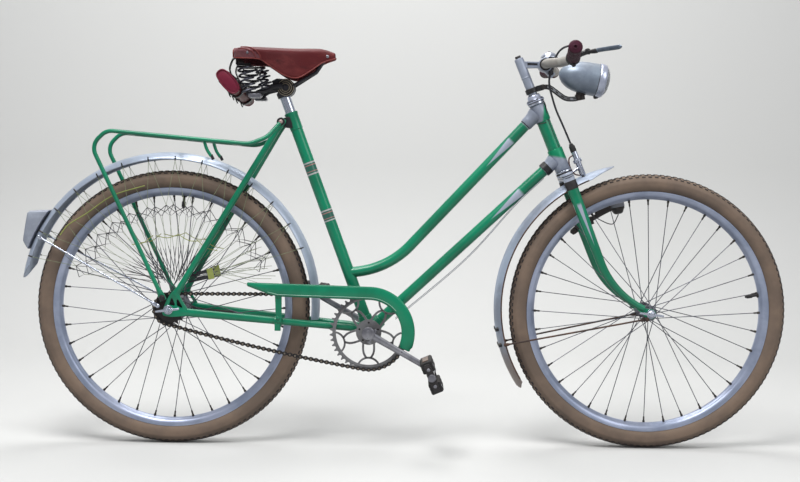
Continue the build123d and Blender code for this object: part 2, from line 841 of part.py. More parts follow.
def pedal(side):
    """A block pedal: two rubber blocks between end plates, on an axle through the crank's eye."""
    eye = bracket + crank_way(side) * crank_length
    inner = crank_plane + crank_thickness / 2 + 5.5
    low, high = sorted((side * inner, side * (inner + pedal_width)))
    tilt = along(pedal_tilt - 90) if side < 0 else along(-8)
    plane = Plane(origin=Vector(eye.X, low, eye.Z), x_dir=tilt, z_dir=Y)
    block = Rectangle(pedal_length / 2 - 12, pedal_height)
    middle = pedal_length / 4 + 6
    blocks = extrude(plane * (Pos(middle, 0) * block + Pos(-middle, 0) * block), amount=pedal_width)
    plates = extrude(plane * Rectangle(middle * 2, 22), amount=4)
    plates += Pos(0, pedal_width - 4, 0) * plates
    barrel = rod(Vector(eye.X, low, eye.Z), Vector(eye.X, high, eye.Z), 9, sides=8)
    inside = Vector(eye.X, side * (crank_plane - crank_thickness / 2), eye.Z)
    outside = Vector(eye.X, side * (inner + pedal_width + 3), eye.Z)
    stub = rod(inside, outside, pedal_axle_radius - 0.05)
    return blocks + plates + barrel + stub


# Wheels

def wheel_ring(centre, section, bore):
    """A ring with flat sides from (y, radius) points, open inside the bore."""
    low, high = section[0][0], section[-1][0]
    body = turned(centre, Y, section, wheel_sides)
    return body - turned(centre, Y, [(low, bore), (high, bore)], wheel_sides)


def tyre(centre):
    half, tread = tyre_width / 2, tyre_tread_width / 2
    seat = rim_width / 2 - 2.5
    widest = wheel_radius - half
    section = [(-seat, rim_radius), (-half, widest), (-tread, wheel_radius),
               (tread, wheel_radius), (half, widest), (seat, rim_radius)]
    return wheel_ring(centre, section, rim_radius)


def rim(centre):
    """A solid rim whose inner face bulges towards the hub."""
    half = rim_width / 2
    inner = rim_radius - rim_depth
    body = disc(centre, rim_radius, rim_width, wheel_sides)
    hole = turned(centre, Y, [(-half - 1, inner + 8), (-half * 0.45, inner), (half * 0.45, inner), (half + 1, inner + 8)],
                  wheel_sides)
    return body - hole


def hub(centre, flange_radius, flange_spacing, barrel_radius):
    """A turned hub with two flanges and its laced spokes."""
    half = flange_spacing / 2
    body = disc(centre, barrel_radius, flange_spacing, small_sides)
    for side in (-1, 1):
        body += disc(centre + Y * side * half, flange_radius, flange_thickness, spoke_count // 2)
    spokes = []
    spoke_end = rim_radius - rim_depth - 0.3
    for number in range(spoke_count):
        side = 1 if number % 2 else -1
        lean = spoke_crossing if (number // 2) % 2 else -spoke_crossing
        around = 360 / spoke_count * number
        offset = spoke_offset if lean > 0 else -spoke_offset
        start = centre + along(around + lean) * (flange_radius - 4) + Y * (side * half + offset)
        end = centre + along(around) * spoke_end + Y * side * 3
        spokes.append(rod(start, end, spoke_width * 0.7, sides=3))
    return body.fuse(*spokes) - disc(centre, axle_radius + bearing_gap, flange_spacing * 2)


def axle(centre, half_length, nut_y):
    """An axle with a hex nut on each end and a small wing behind each nut."""
    piece = disc(centre, axle_radius, half_length * 2, sides=0)
    for side in (-1, 1):
        nut = Plane(origin=centre + Y * side * nut_y, z_dir=Y * side, x_dir=X)
        piece += extrude(nut * RegularPolygon(9, 6), amount=8)
        wing = Plane(origin=centre + Y * side * (nut_y + 4), z_dir=Y * side, x_dir=along(-7))
        piece += extrude(wing * Rectangle(56, 6), amount=4)
    return piece


# Fork, headset and handlebar

crown_middle = crown_race - steer_up * crown_drop
# The front dropout's outline, forward and up from the axle
front_dropout_outline = [(-30, 24), (-16, 14), (8, 10), (12, -2), (8, -11), (-6, -11), (-34, 10)]
blade_knee = by(front_axle, (-90, 46))


def oval_ring(place, way, size):
    """Points round a blade, deep in the bicycle's plane and narrower across it."""
    out = Y.cross(way).normalized()
    across = way.cross(out)
    turns = [2 * pi * (step + 0.5) / blade_sides for step in range(blade_sides)]
    return [place + out * size[0] * cos(t) + across * size[1] * sin(t) for t in turns]


def blade(side):
    """One oval blade that tapers from the crown round the raked bend to the dropout."""
    top = crown_middle + Y * side * blade_spread_top + steer_up * 4
    knee = blade_knee + Y * side * (front_dropout_y + 1)
    foot = by(front_axle, (-16, 12), side * front_dropout_y)
    route = rounded_route([top, knee, foot], blade_bend_radius, 5)
    total = sum((b - a).length for a, b in zip(route, route[1:]))
    gone = 0.0
    rings = []
    for index, place in enumerate(route):
        before, after = route[max(index - 1, 0)], route[min(index + 1, len(route) - 1)]
        gone += (place - before).length
        share = gone / total
        size = [a + (b - a) * share for a, b in zip(blade_top_size, blade_foot_size)]
        rings.append(oval_ring(place, (after - before).normalized(), size))
    return walled(rings)


def guard_seat():
    """How far the bolt below the crown reaches to lie on the front mudguard."""
    gap = crown_middle - front_guard_centre
    rise = gap.dot(steer_up)
    return rise - sqrt(rise ** 2 - gap.dot(gap) + front_guard_radius ** 2) - 0.3


def fork():
    """Steerer, crown, two tapered blades, the mudguard's bolt and the dropout plates."""
    steerer = rod(crown_middle, head_top + steer_up * 24, steerer_radius)
    cap = rod(crown_middle, crown_race - steer_up * (headset_height + 0.3), crown_cap_radius)
    plane = Plane(origin=crown_middle - steer_up * 2, z_dir=steer_up, x_dir=Y)
    half, deep = blade_spread_top + 12, 14.5
    outline = [(-half, -6), (-half, 6), (-half + 10, deep), (half - 10, deep),
               (half, 6), (half, -6), (half - 10, -deep), (-half + 10, -deep)]
    bridge = extrude(plane * make_face(Polyline(*outline, close=True)), amount=13)
    piece = steerer + cap + bridge + rod(crown_middle - steer_up * guard_seat(), crown_middle, 6, sides=8)
    for side in (-1, 1):
        piece += blade(side)
        outline = [(front_axle.X + x, front_axle.Z + z) for x, z in front_dropout_outline]
        middle = side * front_dropout_y
        piece += slab(outline, middle - dropout_thickness / 2, middle + dropout_thickness / 2)
        face = front_axle + Y * side * (front_dropout_y + dropout_thickness / 2)
        piece -= rod(face, face + Y * side * 20, 32)
        inside = front_axle + Y * side * (front_dropout_y - dropout_thickness / 2)
        piece -= rod(inside, inside - Y * side * 20, 12)
    return piece - disc(front_axle, axle_radius, front_dropout_spacing * 2, sides=0)


def headset_cups():
    """The cups pressed on the head tube's two ends."""
    bore = steerer_radius + 1
    lower = rod(crown_race - steer_up * (headset_height - 4), crown_race, bearing_race_radius, bore, 20)
    upper = rod(head_top, head_top + steer_up * (headset_height - 2), bearing_race_radius, bore, 20)
    return [lower, upper]


def headset_nuts():
    """The race, its washer and the tapered locknut that turn with the steerer."""
    base = head_top + steer_up * (headset_height - 1.7)
    race = rod(base, base + steer_up * 6, bearing_race_radius, sides=20)
    nut = turned(base, steer_up, [(6, 19), (8, 16), (14, 16), (17, 14.5)], 20)
    return race + nut - rod(base, base + steer_up * 17, (steerer_radius + 0.05) / cos(pi / round_sides))


quill_base = head_top + steer_up * 24.1
quill_top = head_top + steer_up * stem_length
clamp_point = by(head_top, clamp_from_head)


def stem():
    """The quill, its level extension with sunk sides, and the bar clamp."""
    quill = rod(quill_base, quill_top, stem_radius, sides=20)
    start = quill_top - steer_up * 16 - X * 9
    top, low = start.Z + extension_height / 2, start.Z - extension_height / 2
    level = slab([(start.X, low), (start.X, top), (clamp_point.X, top - 1), (clamp_point.X, low + 1)], -7, 7)
    groove = slab([(start.X + 22, low + 4), (start.X + 22, top - 4), (clamp_point.X - 18, top - 5),
                   (clamp_point.X - 18, low + 5)], -20, -5)
    clamp = disc(clamp_point, bar_clamp_radius, 30, 20)
    bolt = rod(quill_top, quill_top + steer_up * 6, 7, sides=6)
    pinch = rod(by(clamp_point, (7, -9)), by(clamp_point, (20, -24)), 6, sides=6)
    return quill + level - groove - mirror(groove, about=Plane.XZ) + clamp + bolt + pinch - handlebar()


# The bar's right half, forward and up from the clamp; its share of the half width to the side
bar_route = [(33, 9.5, 0.985), (44, -1, 0.568), (28, -3, 0.341), (0, 0, 0.152)]


def bar_points():
    return [by(clamp_point, (x, z), -bar_half_width * share) for x, z, share in bar_route]


def handlebar():
    """A near-flat bar: ahead of the stem it turns forward, and the grips come back."""
    right = bar_points()
    left = [Vector(p.X, -p.Y, p.Z) for p in reversed(right)]
    return bent(right + left, bar_radius, [60, 40, 40, 40, 40, 60], 12, 2)


def grip_way():
    end, start = bar_points()[:2]
    return (start - end).normalized()


def grips():
    """A sleeve with a rounded end cap on each end of the bar."""
    end, way = bar_points()[0], grip_way()
    sleeve = turned(end, way, [(-8, 10), (-5, grip_radius), (grip_length, grip_radius - 1)], 16)
    return both(sleeve - handlebar())


def brake_lever():
    """A ribbed bracket round the bar and the tapered blade in front of the right grip."""
    inner = bar_points()[0] + grip_way() * (grip_length + 0.3)
    clamp = rod(inner, inner + grip_way() * 18, 15.5, sides=16) - handlebar()
    seat = inner + grip_way() * 9
    pivot = seat + Vector(30, -12, 12)
    arm = rod(seat + Vector(10, -4, 5), pivot, 6, sides=8) - handlebar()
    way = Vector(65, -74, 10).normalized()
    flat = turned(pivot - way * 4, way, [(0, 4), (6, 7), (50, 6), (92, 5), (99, 2.5)], 8)
    return clamp + arm + flat


plunger_low = crown_race - steer_up * 28 - steer_back * 40
plunger_top = plunger_low + steer_up * 80


def plunger_brake():
    """The tube in front of the head tube that pushes a rubber block on the tyre."""
    tube = rod(plunger_low, plunger_low + steer_up * 60, 7, sides=12)
    cap = rod(plunger_low + steer_up * 60, plunger_top, 6, sides=12)
    collar = rod(plunger_low + steer_up * 32, plunger_low + steer_up * 40, 9.5, sides=16)
    arm = rod(plunger_low + steer_up * 20, crown_race - steer_up * 14, 5, sides=8)
    return tube + cap + collar + arm - fork()


# Lamp, dynamo, bell and cables

lamp_tail = by(head_top, lamp_tail_from_head)
lamp_front = by(head_top, lamp_front_from_head)
lamp_way = (lamp_front - lamp_tail).normalized()
lamp_length = (lamp_front - lamp_tail).length
# Columns: share of the length, share of the radius
lamp_profile = [(0, 0.1), (0.05, 0.36), (0.14, 0.62), (0.28, 0.83), (0.45, 0.95), (0.8, 0.99), (0.84, 1.03), (1, 1.0)]


def headlamp():
    """A bullet shell in turned steps, hollow behind its glass."""
    shell = turned(lamp_tail, lamp_way, [(lamp_length * s, lamp_radius * r) for s, r in lamp_profile], lamp_sides)
    inner = [(lamp_length * s + lamp_shell, lamp_radius * r - lamp_shell) for s, r in lamp_profile[3:6]]
    mouth = lamp_radius - 4
    hollow = turned(lamp_tail, lamp_way, inner + [(lamp_length - 6, mouth), (lamp_length + 1, mouth)], lamp_sides)
    return shell - hollow


def headlamp_glass():
    """The domed glass in the lamp's mouth."""
    rim_edge = lamp_radius - 4.2
    profile = [(-4, rim_edge), (1, rim_edge), (7, rim_edge * 0.82), (11, rim_edge * 0.5), (12.5, rim_edge * 0.15)]
    return turned(lamp_front, lamp_way, profile, lamp_sides)


# The swan-neck's points, forward and up from the head tube's top
lamp_arm_route = [(19, 52), (40, 36.5), (65, 16.5), (95, 13.5), (104, 32)]


def lamp_bracket():
    """A clamp on the stem with the swan-neck strap that holds the lamp from below."""
    centre = head_top + steer_up * 36
    collar = rod(centre - steer_up * 7, centre + steer_up * 7, 16.5, sides=small_sides)
    route = [centre - steer_back * 12] + [by(head_top, shift) for shift in lamp_arm_route]
    arm = bent(route, 4.5, [10, 20, 20, 10], 8, 2)
    foot = rod(route[-2] - Z * 4, route[-2] + Z * 8, 8, sides=8)
    shell = turned(lamp_tail, lamp_way, [(lamp_length * s, lamp_radius * r) for s, r in lamp_profile], lamp_sides)
    return collar + arm + foot - shell - rod(centre - steer_up * 9, centre + steer_up * 9, stem_radius, sides=20)


dynamo_top = by(front_axle, (-68, 277), 66)
dynamo_foot = by(front_axle, (-57, 226), 61)


def dynamo():
    """A bottle dynamo beside the left blade with its base cap and clamp bracket."""
    way = (dynamo_foot - dynamo_top).normalized()
    length = (dynamo_foot - dynamo_top).length
    profile = [(-14, 8), (-13, 11), (-4, 11), (0, dynamo_radius - 3), (4, dynamo_radius), (length - 12, dynamo_radius),
               (length - 6, dynamo_radius - 4), (length + 4, dynamo_radius - 7)]
    bottle = turned(dynamo_top, way, profile, 16)
    leg = by(front_axle, (-150, 203), 49)
    knee = by(front_axle, (-100, 226), 55)
    arm = bent([dynamo_foot - way * 16, knee, leg], 5, 30, 8, 2)
    return bottle + arm - fork()


bell_foot = by(clamp_point, (18, 20), 64)


def bell():
    """A domed bell on its clip round the bar."""
    dome = turned(bell_foot + Z * 4, Z, [(0, 19), (4, 19), (10, 15), (14, 8), (15, 3)], small_sides)
    post = rod(bell_foot - Z * 16, bell_foot + Z * 5, 5, sides=8)
    return dome + post - handlebar()


# The brake cable from the lever over the bar and down to the plunger
# Columns: forward and up from the head tube's top, to the side
cable_route = [(74, 115, -142), (61, 125, -120), (45, 122, -85), (36, 108, -54), (31, 84, -32), (25, 62, -27),
               (26, 43, -24), (32, 21, -20), (44, -13, -14), (62, -50, -7)]


def brake_cable():
    last = plunger_top + steer_up * 0.3
    points = [by(head_top, (x, z), y) for x, z, y in cable_route] + [last]
    bends = []
    for before, corner, after in zip(points, points[1:], points[2:]):
        short = min((corner - before).length, (after - corner).length)
        turn = 180 - (before - corner).get_angle(after - corner)
        bends.append(0.45 * short / tan(radians(turn / 2)))
    return bent(points, cable_radius, bends, 6, 2)


add("head_tube", head_tube())
add("upper_head_lug", upper_head_lug())
add("lower_head_lug", lower_head_lug())
add("upper_tube", upper_tube())
add("lower_tube", lower_tube())
add("seat_tube", seat_tube())
add("seat_lug", seat_lug())
add("bottom_bracket_shell", bottom_bracket_shell())
add("chain_stays", chain_stays())
add("seat_stays", seat_stays())
add("rear_dropouts", rear_dropouts())
add("headset_cups", headset_cups())
add("seat_post", seat_post())
add("saddle_clamp", saddle_clamp())
add("saddle_leather", saddle_leather())
add("saddle_frame", saddle_frame(), saddle_cantle())
add("saddle_springs", saddle_springs())
add("saddle_bag", saddle_bag())
add("carrier", carrier())
add("rear_mudguard", rear_mudguard())
add("rear_mudguard_stays", rear_mudguard_stays())
add("tail_lamp", tail_lamp())
add("chain_guard", chain_guard())
add("chain_guard_bracket", chain_guard_bracket())
add("chain", chain())
add("rear_sprocket", rear_sprocket())
add("rear_axle", axle(rear_axle, axle_end_rear, dropout_spacing / 2 + dropout_thickness))
add("chainwheel", chainwheel())
add("cranks", cranks())
add("right_pedal", pedal(-1))
add("left_pedal", pedal(1))
add("rear_tyre", tyre(rear_axle))
add("rear_rim", rim(rear_axle))
add("rear_hub", hub(rear_axle, rear_flange_radius, rear_flange_spacing, rear_hub_radius))
add("front_tyre", tyre(front_axle))
add("front_rim", rim(front_axle))
add("front_hub", hub(front_axle, front_flange_radius, front_flange_spacing, front_hub_radius))
add("front_axle", axle(front_axle, axle_end_front, front_dropout_spacing / 2 + dropout_thickness))
add("fork", fork())
add("headset_nuts", headset_nuts())
add("stem", stem())
add("handlebar", handlebar())
add("grips", grips())
add("brake_lever", brake_lever())
add("plunger_brake", plunger_brake())
add("brake_cable", brake_cable())
add("headlamp", headlamp())
add("headlamp_glass", headlamp_glass())
add("lamp_bracket", lamp_bracket())
add("front_mudguard", front_mudguard())
add("front_mudguard_stays", front_mudguard_stays())
add("dynamo", dynamo())
add("bell", bell())

seat_point = by(seat_top, seat_point_from_post)
os.makedirs("parts", exist_ok=True)
for name, piece in nodes.items():
    export_step(Pos(-seat_point.X, 0, -seat_point.Z) * piece, "parts/" + name + ".step")
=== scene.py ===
# The looks of a vintage step-through bicycle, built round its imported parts.
# Lengths are millimetres from the CAD's origin, the seat point, and make() turns them into metres.
# x points forward, y to the rider's left and z up. Angles are degrees unless a comment says otherwise.
import json
from math import asin, atan2, ceil, cos, degrees, hypot, pi, radians, sin, sqrt, tan

import bmesh
import bpy
from mathutils import Matrix, Vector, noise


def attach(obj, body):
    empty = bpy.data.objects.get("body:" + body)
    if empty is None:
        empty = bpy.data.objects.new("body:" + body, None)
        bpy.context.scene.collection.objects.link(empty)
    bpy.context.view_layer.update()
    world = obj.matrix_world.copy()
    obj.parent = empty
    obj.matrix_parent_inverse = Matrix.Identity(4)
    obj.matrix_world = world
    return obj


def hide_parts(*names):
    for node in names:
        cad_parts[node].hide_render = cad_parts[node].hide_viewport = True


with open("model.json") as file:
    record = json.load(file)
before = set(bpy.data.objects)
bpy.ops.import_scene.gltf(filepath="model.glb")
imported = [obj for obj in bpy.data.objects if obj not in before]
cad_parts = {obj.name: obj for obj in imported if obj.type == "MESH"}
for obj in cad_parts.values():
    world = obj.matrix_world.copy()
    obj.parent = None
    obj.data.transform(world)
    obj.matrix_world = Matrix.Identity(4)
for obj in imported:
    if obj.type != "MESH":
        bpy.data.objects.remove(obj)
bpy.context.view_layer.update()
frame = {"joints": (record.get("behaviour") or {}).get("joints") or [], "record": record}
MM = 0.001
X, Y, Z = Vector((1, 0, 0)), Vector((0, 1, 0)), Vector((0, 0, 1))
origin = Vector()
both_sides = (-1, 1)
square = ((-1, -1), (1, -1), (1, 1), (-1, 1))

# Where the moving parts turn, and what each CAD node rides on
hinge = {joint["name"]: Vector(joint["pos_m"]) / MM for joint in frame["joints"]}
node_body = {node: body for body, nodes in frame["record"]["behaviour"]["bodies"].items() for node in nodes}


def along(angle):
    """The direction in the bicycle's plane that rises by angle from forward."""
    return Vector((cos(radians(angle)), 0, sin(radians(angle))))


def by(place, forward, up, side=0.0):
    """The point that lies forward, up and to the left of a place."""
    return place + Vector((forward, side, up))


def flip(point):
    """The mirror point on the other side."""
    return Vector((point.x, -point.y, point.z))


wheel_radius = 327.0
rear_axle, front_axle = hinge["rear_wheel_spin"], hinge["front_wheel_spin"]
bracket, crown_race = hinge["crank_spin"], hinge["steering"]
ground = rear_axle.z - wheel_radius
seat_angle, head_angle = 69.7, 67.4
head_tube_length, seat_tube_length = 166.0, 549.0
steer_up, steer_back = along(180 - head_angle), along(270 - head_angle)
seat_up = along(180 - seat_angle)
head_top = crown_race + steer_up * head_tube_length
seat_top = bracket + seat_up * seat_tube_length
stay_top = seat_top - seat_up * 24 - X * 27
dropout_y, front_dropout_y = 60.0, 50.5
tube_radius, head_tube_radius, seat_tube_radius, seat_post_radius = 12.7, 16.0, 14.0, 12.6
plate_half, carrier_half_width, prong_y = 2.4, 64, 58
bar_radius, bar_half_width = 11, 264
chain_pitch, chain_line, chainwheel_teeth, sprocket_teeth = 12.7, 47.0, 44, 18
crank_length, crank_plane, crank_lean = 170.0, 69, -29.7
guard_half_width, guard_rise = 28.5, 15.0
rear_guard_radius, rear_guard_first, rear_guard_last, rear_stay_angle = 358, -6, 171, 153
front_guard_radius, front_guard_first, front_guard_last, front_stay_angle = 342, 100.5, 214.7, 195.5
crown_middle = crown_race - steer_up * 20
clamp_point = by(head_top, 17.2, 94.2)


def rounded(points, bends, chords=8):
    """The points with each corner replaced by an arc of short chords."""
    radii = bends if isinstance(bends, list) else [bends] * (len(points) - 2)
    route = [points[0]]
    for before, corner, after, radius in zip(points, points[1:], points[2:], radii):
        back, ahead = (before - corner).normalized(), (after - corner).normalized()
        turn = pi - back.angle(ahead)
        middle = corner + (back + ahead).normalized() * (radius / cos(turn / 2))
        start = corner + back * (radius * tan(turn / 2)) - middle
        end = corner + ahead * (radius * tan(turn / 2)) - middle
        for step in range(chords + 1):
            share = step / chords
            route.append(middle + (start * sin((1 - share) * turn) + end * sin(share * turn)) / sin(turn))
    return route + [points[-1]]


def flowing(points, steps=8):
    """A smooth curve through all the points."""
    ends = [points[0] * 2 - points[1]] + list(points) + [points[-1] * 2 - points[-2]]
    route = []
    for a, b, c, d in zip(ends, ends[1:], ends[2:], ends[3:]):
        for step in range(steps):
            t = step / steps
            route.append((b * 2 + (c - a) * t + (a * 2 - b * 5 + c * 4 - d) * t * t
                          + (b * 3 - c * 3 + d - a) * t ** 3) / 2)
    return route + [points[-1]]


def eased(rows, places):
    """Rows of numbers read at any place between them, on a smooth curve; the first column is the place."""
    curve = flowing([Vector(row) for row in rows], 12)
    found = []
    for place in places:
        low, high = next(((p, q) for p, q in zip(curve, curve[1:]) if q[0] >= place), (curve[-2], curve[-1]))
        share = (place - low[0]) / (high[0] - low[0])
        found.append(low + (high - low) * share)
    return found


def placed(route, across=None):
    """Each point of a route with its way and two directions square to it that turn as little as they can."""
    side, rows = across, []
    for index, point in enumerate(route):
        way = (route[min(index + 1, len(route) - 1)] - route[max(index - 1, 0)]).normalized()
        if side is None:
            side = Y if abs(way.y) < 0.8 else X
        side = (side - way * side.dot(way)).normalized()
        rows.append((point, way, side, way.cross(side)))
    return rows


class Shape:
    """The points and faces of one piece, gathered before its mesh is made."""

    def __init__(self):
        self.points, self.faces, self.marks = [], [], []
        self.mark = 0

    def face(self, corners):
        self.faces.append(tuple(corners))
        self.marks.append(self.mark)

    def skin(self, rings, loop=False, caps=True, strip=False):
        """Join rings of equally many points. A ring of one point closes a tip; a strip is open sideways."""
        numbered = []
        for ring in rings:
            numbered.append(list(range(len(self.points), len(self.points) + len(ring))))
            self.points.extend(ring)
        for low, high in zip(numbered, numbered[1:] + numbered[:1] if loop else numbered[1:]):
            count = max(len(low), len(high))
            for first in range(count - 1 if strip else count):
                second = (first + 1) % count
                if len(low) == 1:
                    self.face((low[0], high[second], high[first]))
                elif len(high) == 1:
                    self.face((low[first], low[second], high[0]))
                else:
                    self.face((low[first], low[second], high[second], high[first]))
        if caps and not loop and not strip:
            for ring in (numbered[0][::-1], numbered[-1]):
                if len(ring) > 2:
                    self.face(ring)
        return self

    def tube(self, route, radius, sides=16, caps=True, across=None, loop=False):
        """A round bar along a route, with one radius, or a radius or (across, deep) pair for each point."""
        sizes = radius if isinstance(radius, list) else [radius] * len(route)
        rings = []
        for (point, way, side, up), size in zip(placed(route, across), sizes):
            wide, deep = size if isinstance(size, tuple) else (size, size)
            turns = [2 * pi * step / sides for step in range(sides)]
            rings.append([point + side * (wide * cos(t)) + up * (deep * sin(t)) for t in turns])
        return self.skin(rings, caps=caps, loop=loop)

    def bar(self, route, thick, wide, across=None, loop=False):
        """A flat-sided bar, thick across and wide in the plane of its bends."""
        rings = []
        for point, way, side, up in placed(route, across):
            a, b = side * (thick / 2), up * (wide / 2)
            rings.append([point - a - b, point + a - b, point + a + b, point - a + b])
        return self.skin(rings, loop=loop)

    def turned(self, start, way, profile, sides=32, ring=False, first=0.0):
        """A turned form from (distance, radius) pairs; a ring joins its last pair to its first."""
        way = way.normalized()
        side = (way.cross(Y) if abs(way.y) < 0.7 else way.cross(X)).normalized()
        up = way.cross(side)
        rings = []
        for distance, radius in profile:
            middle = start + way * distance
            if radius <= 0:
                rings.append([middle])
                continue
            turns = [first + 2 * pi * step / sides for step in range(sides)]
            rings.append([middle + side * (radius * cos(t)) + up * (radius * sin(t)) for t in turns])
        return self.skin(rings, loop=ring)

    def plate(self, outline, one_plane, other_plane, place=origin):
        """A flat plate from (x, z) points round a place, between two planes."""
        planes = sorted((one_plane, other_plane))
        return self.skin([[Vector((place.x + x, y, place.z + z)) for x, z in outline] for y in planes])

    def slab(self, place, way, up, outline, thick):
        """A flat plate from (along way, along up) points round a place, thick square to both."""
        out = way.cross(up).normalized() * (thick / 2)
        corners = [place + way * a + up * b for a, b in outline]
        return self.skin([[c - out for c in corners], [c + out for c in corners]])

    def hexagon(self, place, way, radius, height):
        """A nut with its far corners taken off."""
        return self.turned(place, way, [(0, radius), (height * 0.82, radius), (height, radius * 0.88)], 6)

    def dome(self, place, way, radius, height, sides=16):
        """A round head on a flat foot."""
        profile = [(0, radius)]
        profile += [(height * sin(a * pi / 8), radius * cos(a * pi / 8)) for a in (1, 2, 3)]
        return self.turned(place, way, profile + [(height, 0)], sides)

    def ridged(self, centre, way, out, aside, count, radius, outline, thick):
        """Small ridges round a turned part, from (outward, along way) points on a circle."""
        for number in range(count):
            turn = 2 * pi * number / count
            spoke = out * cos(turn) + aside * sin(turn)
            self.slab(centre + spoke * radius, spoke, way, outline, thick)
        return self

    def mirrored(self):
        """The shape with its mirror image on the other side."""
        start = len(self.points)
        self.points += [flip(point) for point in self.points]
        self.faces += [tuple(start + corner for corner in reversed(face)) for face in self.faces]
        self.marks += self.marks
        return self


def make(shape, name, *materials, body=None, bevel=0.0, smooth=0, sharp=38, thick=0.0):
    """Make the piece on its body, with its slot. A piece named like a CAD node replaces that node."""
    mesh = bpy.data.meshes.new(name)
    mesh.from_pydata([point * MM for point in shape.points], [], shape.faces)
    mesh.polygons.foreach_set("material_index", shape.marks)
    work = bmesh.new()
    work.from_mesh(mesh)
    bmesh.ops.remove_doubles(work, verts=work.verts, dist=0.00001)
    bmesh.ops.recalc_face_normals(work, faces=work.faces)
    work.to_mesh(mesh)
    work.free()
    for material in materials:
        mesh.materials.append(material)
    mesh.shade_smooth()
    mesh.set_sharp_from_angle(angle=radians(sharp))
    piece = bpy.data.objects.new(name, mesh)
    bpy.context.scene.collection.objects.link(piece)
    if thick:
        solid = piece.modifiers.new("thickness", "SOLIDIFY")
        solid.thickness = thick * MM
        solid.offset = -1.0
    if smooth:
        piece.modifiers.new("smooth", "SUBSURF").levels = smooth
        piece.modifiers["smooth"].render_levels = smooth
    if bevel:
        edge = piece.modifiers.new("edge", "BEVEL")
        edge.width = bevel * MM
        edge.segments = 2
        edge.limit_method = "ANGLE"
        edge.angle_limit = radians(40)
    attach(piece, body or node_body[name])
    if name in node_body:
        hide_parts(name)
    return piece


# Materials

def linear(red, green, blue):
    """A colour as it is seen on a screen, 0 to 255, made linear."""
    parts = [value / 255 for value in (red, green, blue)]
    return tuple(p / 12.92 if p < 0.04 else ((p + 0.055) / 1.055) ** 2.4 for p in parts) + (1.0,)


def feed(tree, socket, value):
    """Link or set one input."""
    if isinstance(value, bpy.types.NodeSocket):
        tree.links.new(value, socket)
    else:
        socket.default_value = value


def put(tree, kind, inputs=None, **settings):
    """Add a node with its settings and inputs."""
    node = tree.nodes.new(kind)
    for key, value in settings.items():
        setattr(node, key, value)
    for key, value in (inputs or {}).items():
        feed(tree, node.inputs[key], value)
    return node


def maths(tree, operation, *values):
    return put(tree, "ShaderNodeMath", dict(enumerate(values)), operation=operation).outputs[0]


def vectors(tree, operation, *values):
    node = put(tree, "ShaderNodeVectorMath", dict(enumerate(values)), operation=operation)
    return node.outputs["Value" if operation in ("DOT_PRODUCT", "LENGTH") else "Vector"]


def blended(tree, share, first, second, way="MIX"):
    node = put(tree, "ShaderNodeMix", {0: share, 6: first, 7: second}, data_type="RGBA", blend_type=way)
    return node.outputs[2]


def spread(tree, value, low, high, to_low=0.0, to_high=1.0):
    """A value between low and high, carried smoothly to another range."""
    inputs = {"Value": value, "From Min": low, "From Max": high, "To Min": to_low, "To Max": to_high}
    return put(tree, "ShaderNodeMapRange", inputs, interpolation_type="SMOOTHSTEP").outputs[0]


def clouds(tree, where, scale, detail=3.0, roughness=0.6):
    inputs = {"Vector": where, "Scale": scale, "Detail": detail, "Roughness": roughness}
    return put(tree, "ShaderNodeTexNoise", inputs).outputs["Fac"]


def here(tree):
    """The place on the piece at rest, in metres."""
    return put(tree, "ShaderNodeTexCoord").outputs["Object"]


def new_group(name, inputs, outputs):
    """An empty shader group with named sockets; a socket's kind follows from its default."""
    group = bpy.data.node_groups.new(name, "ShaderNodeTree")
    for label, default in inputs.items():
        kind = "NodeSocketFloat" if isinstance(default, float) else \
            "NodeSocketColor" if len(default) == 4 else "NodeSocketVector"
        socket = group.interface.new_socket(label, in_out="INPUT", socket_type=kind)
        socket.default_value = default
    for label in outputs:
        kind = "NodeSocketColor" if label == "Color" else "NodeSocketFloat"
        group.interface.new_socket(label, in_out="OUTPUT", socket_type=kind)
    return group, put(group, "NodeGroupInput").outputs, put(group, "NodeGroupOutput").inputs


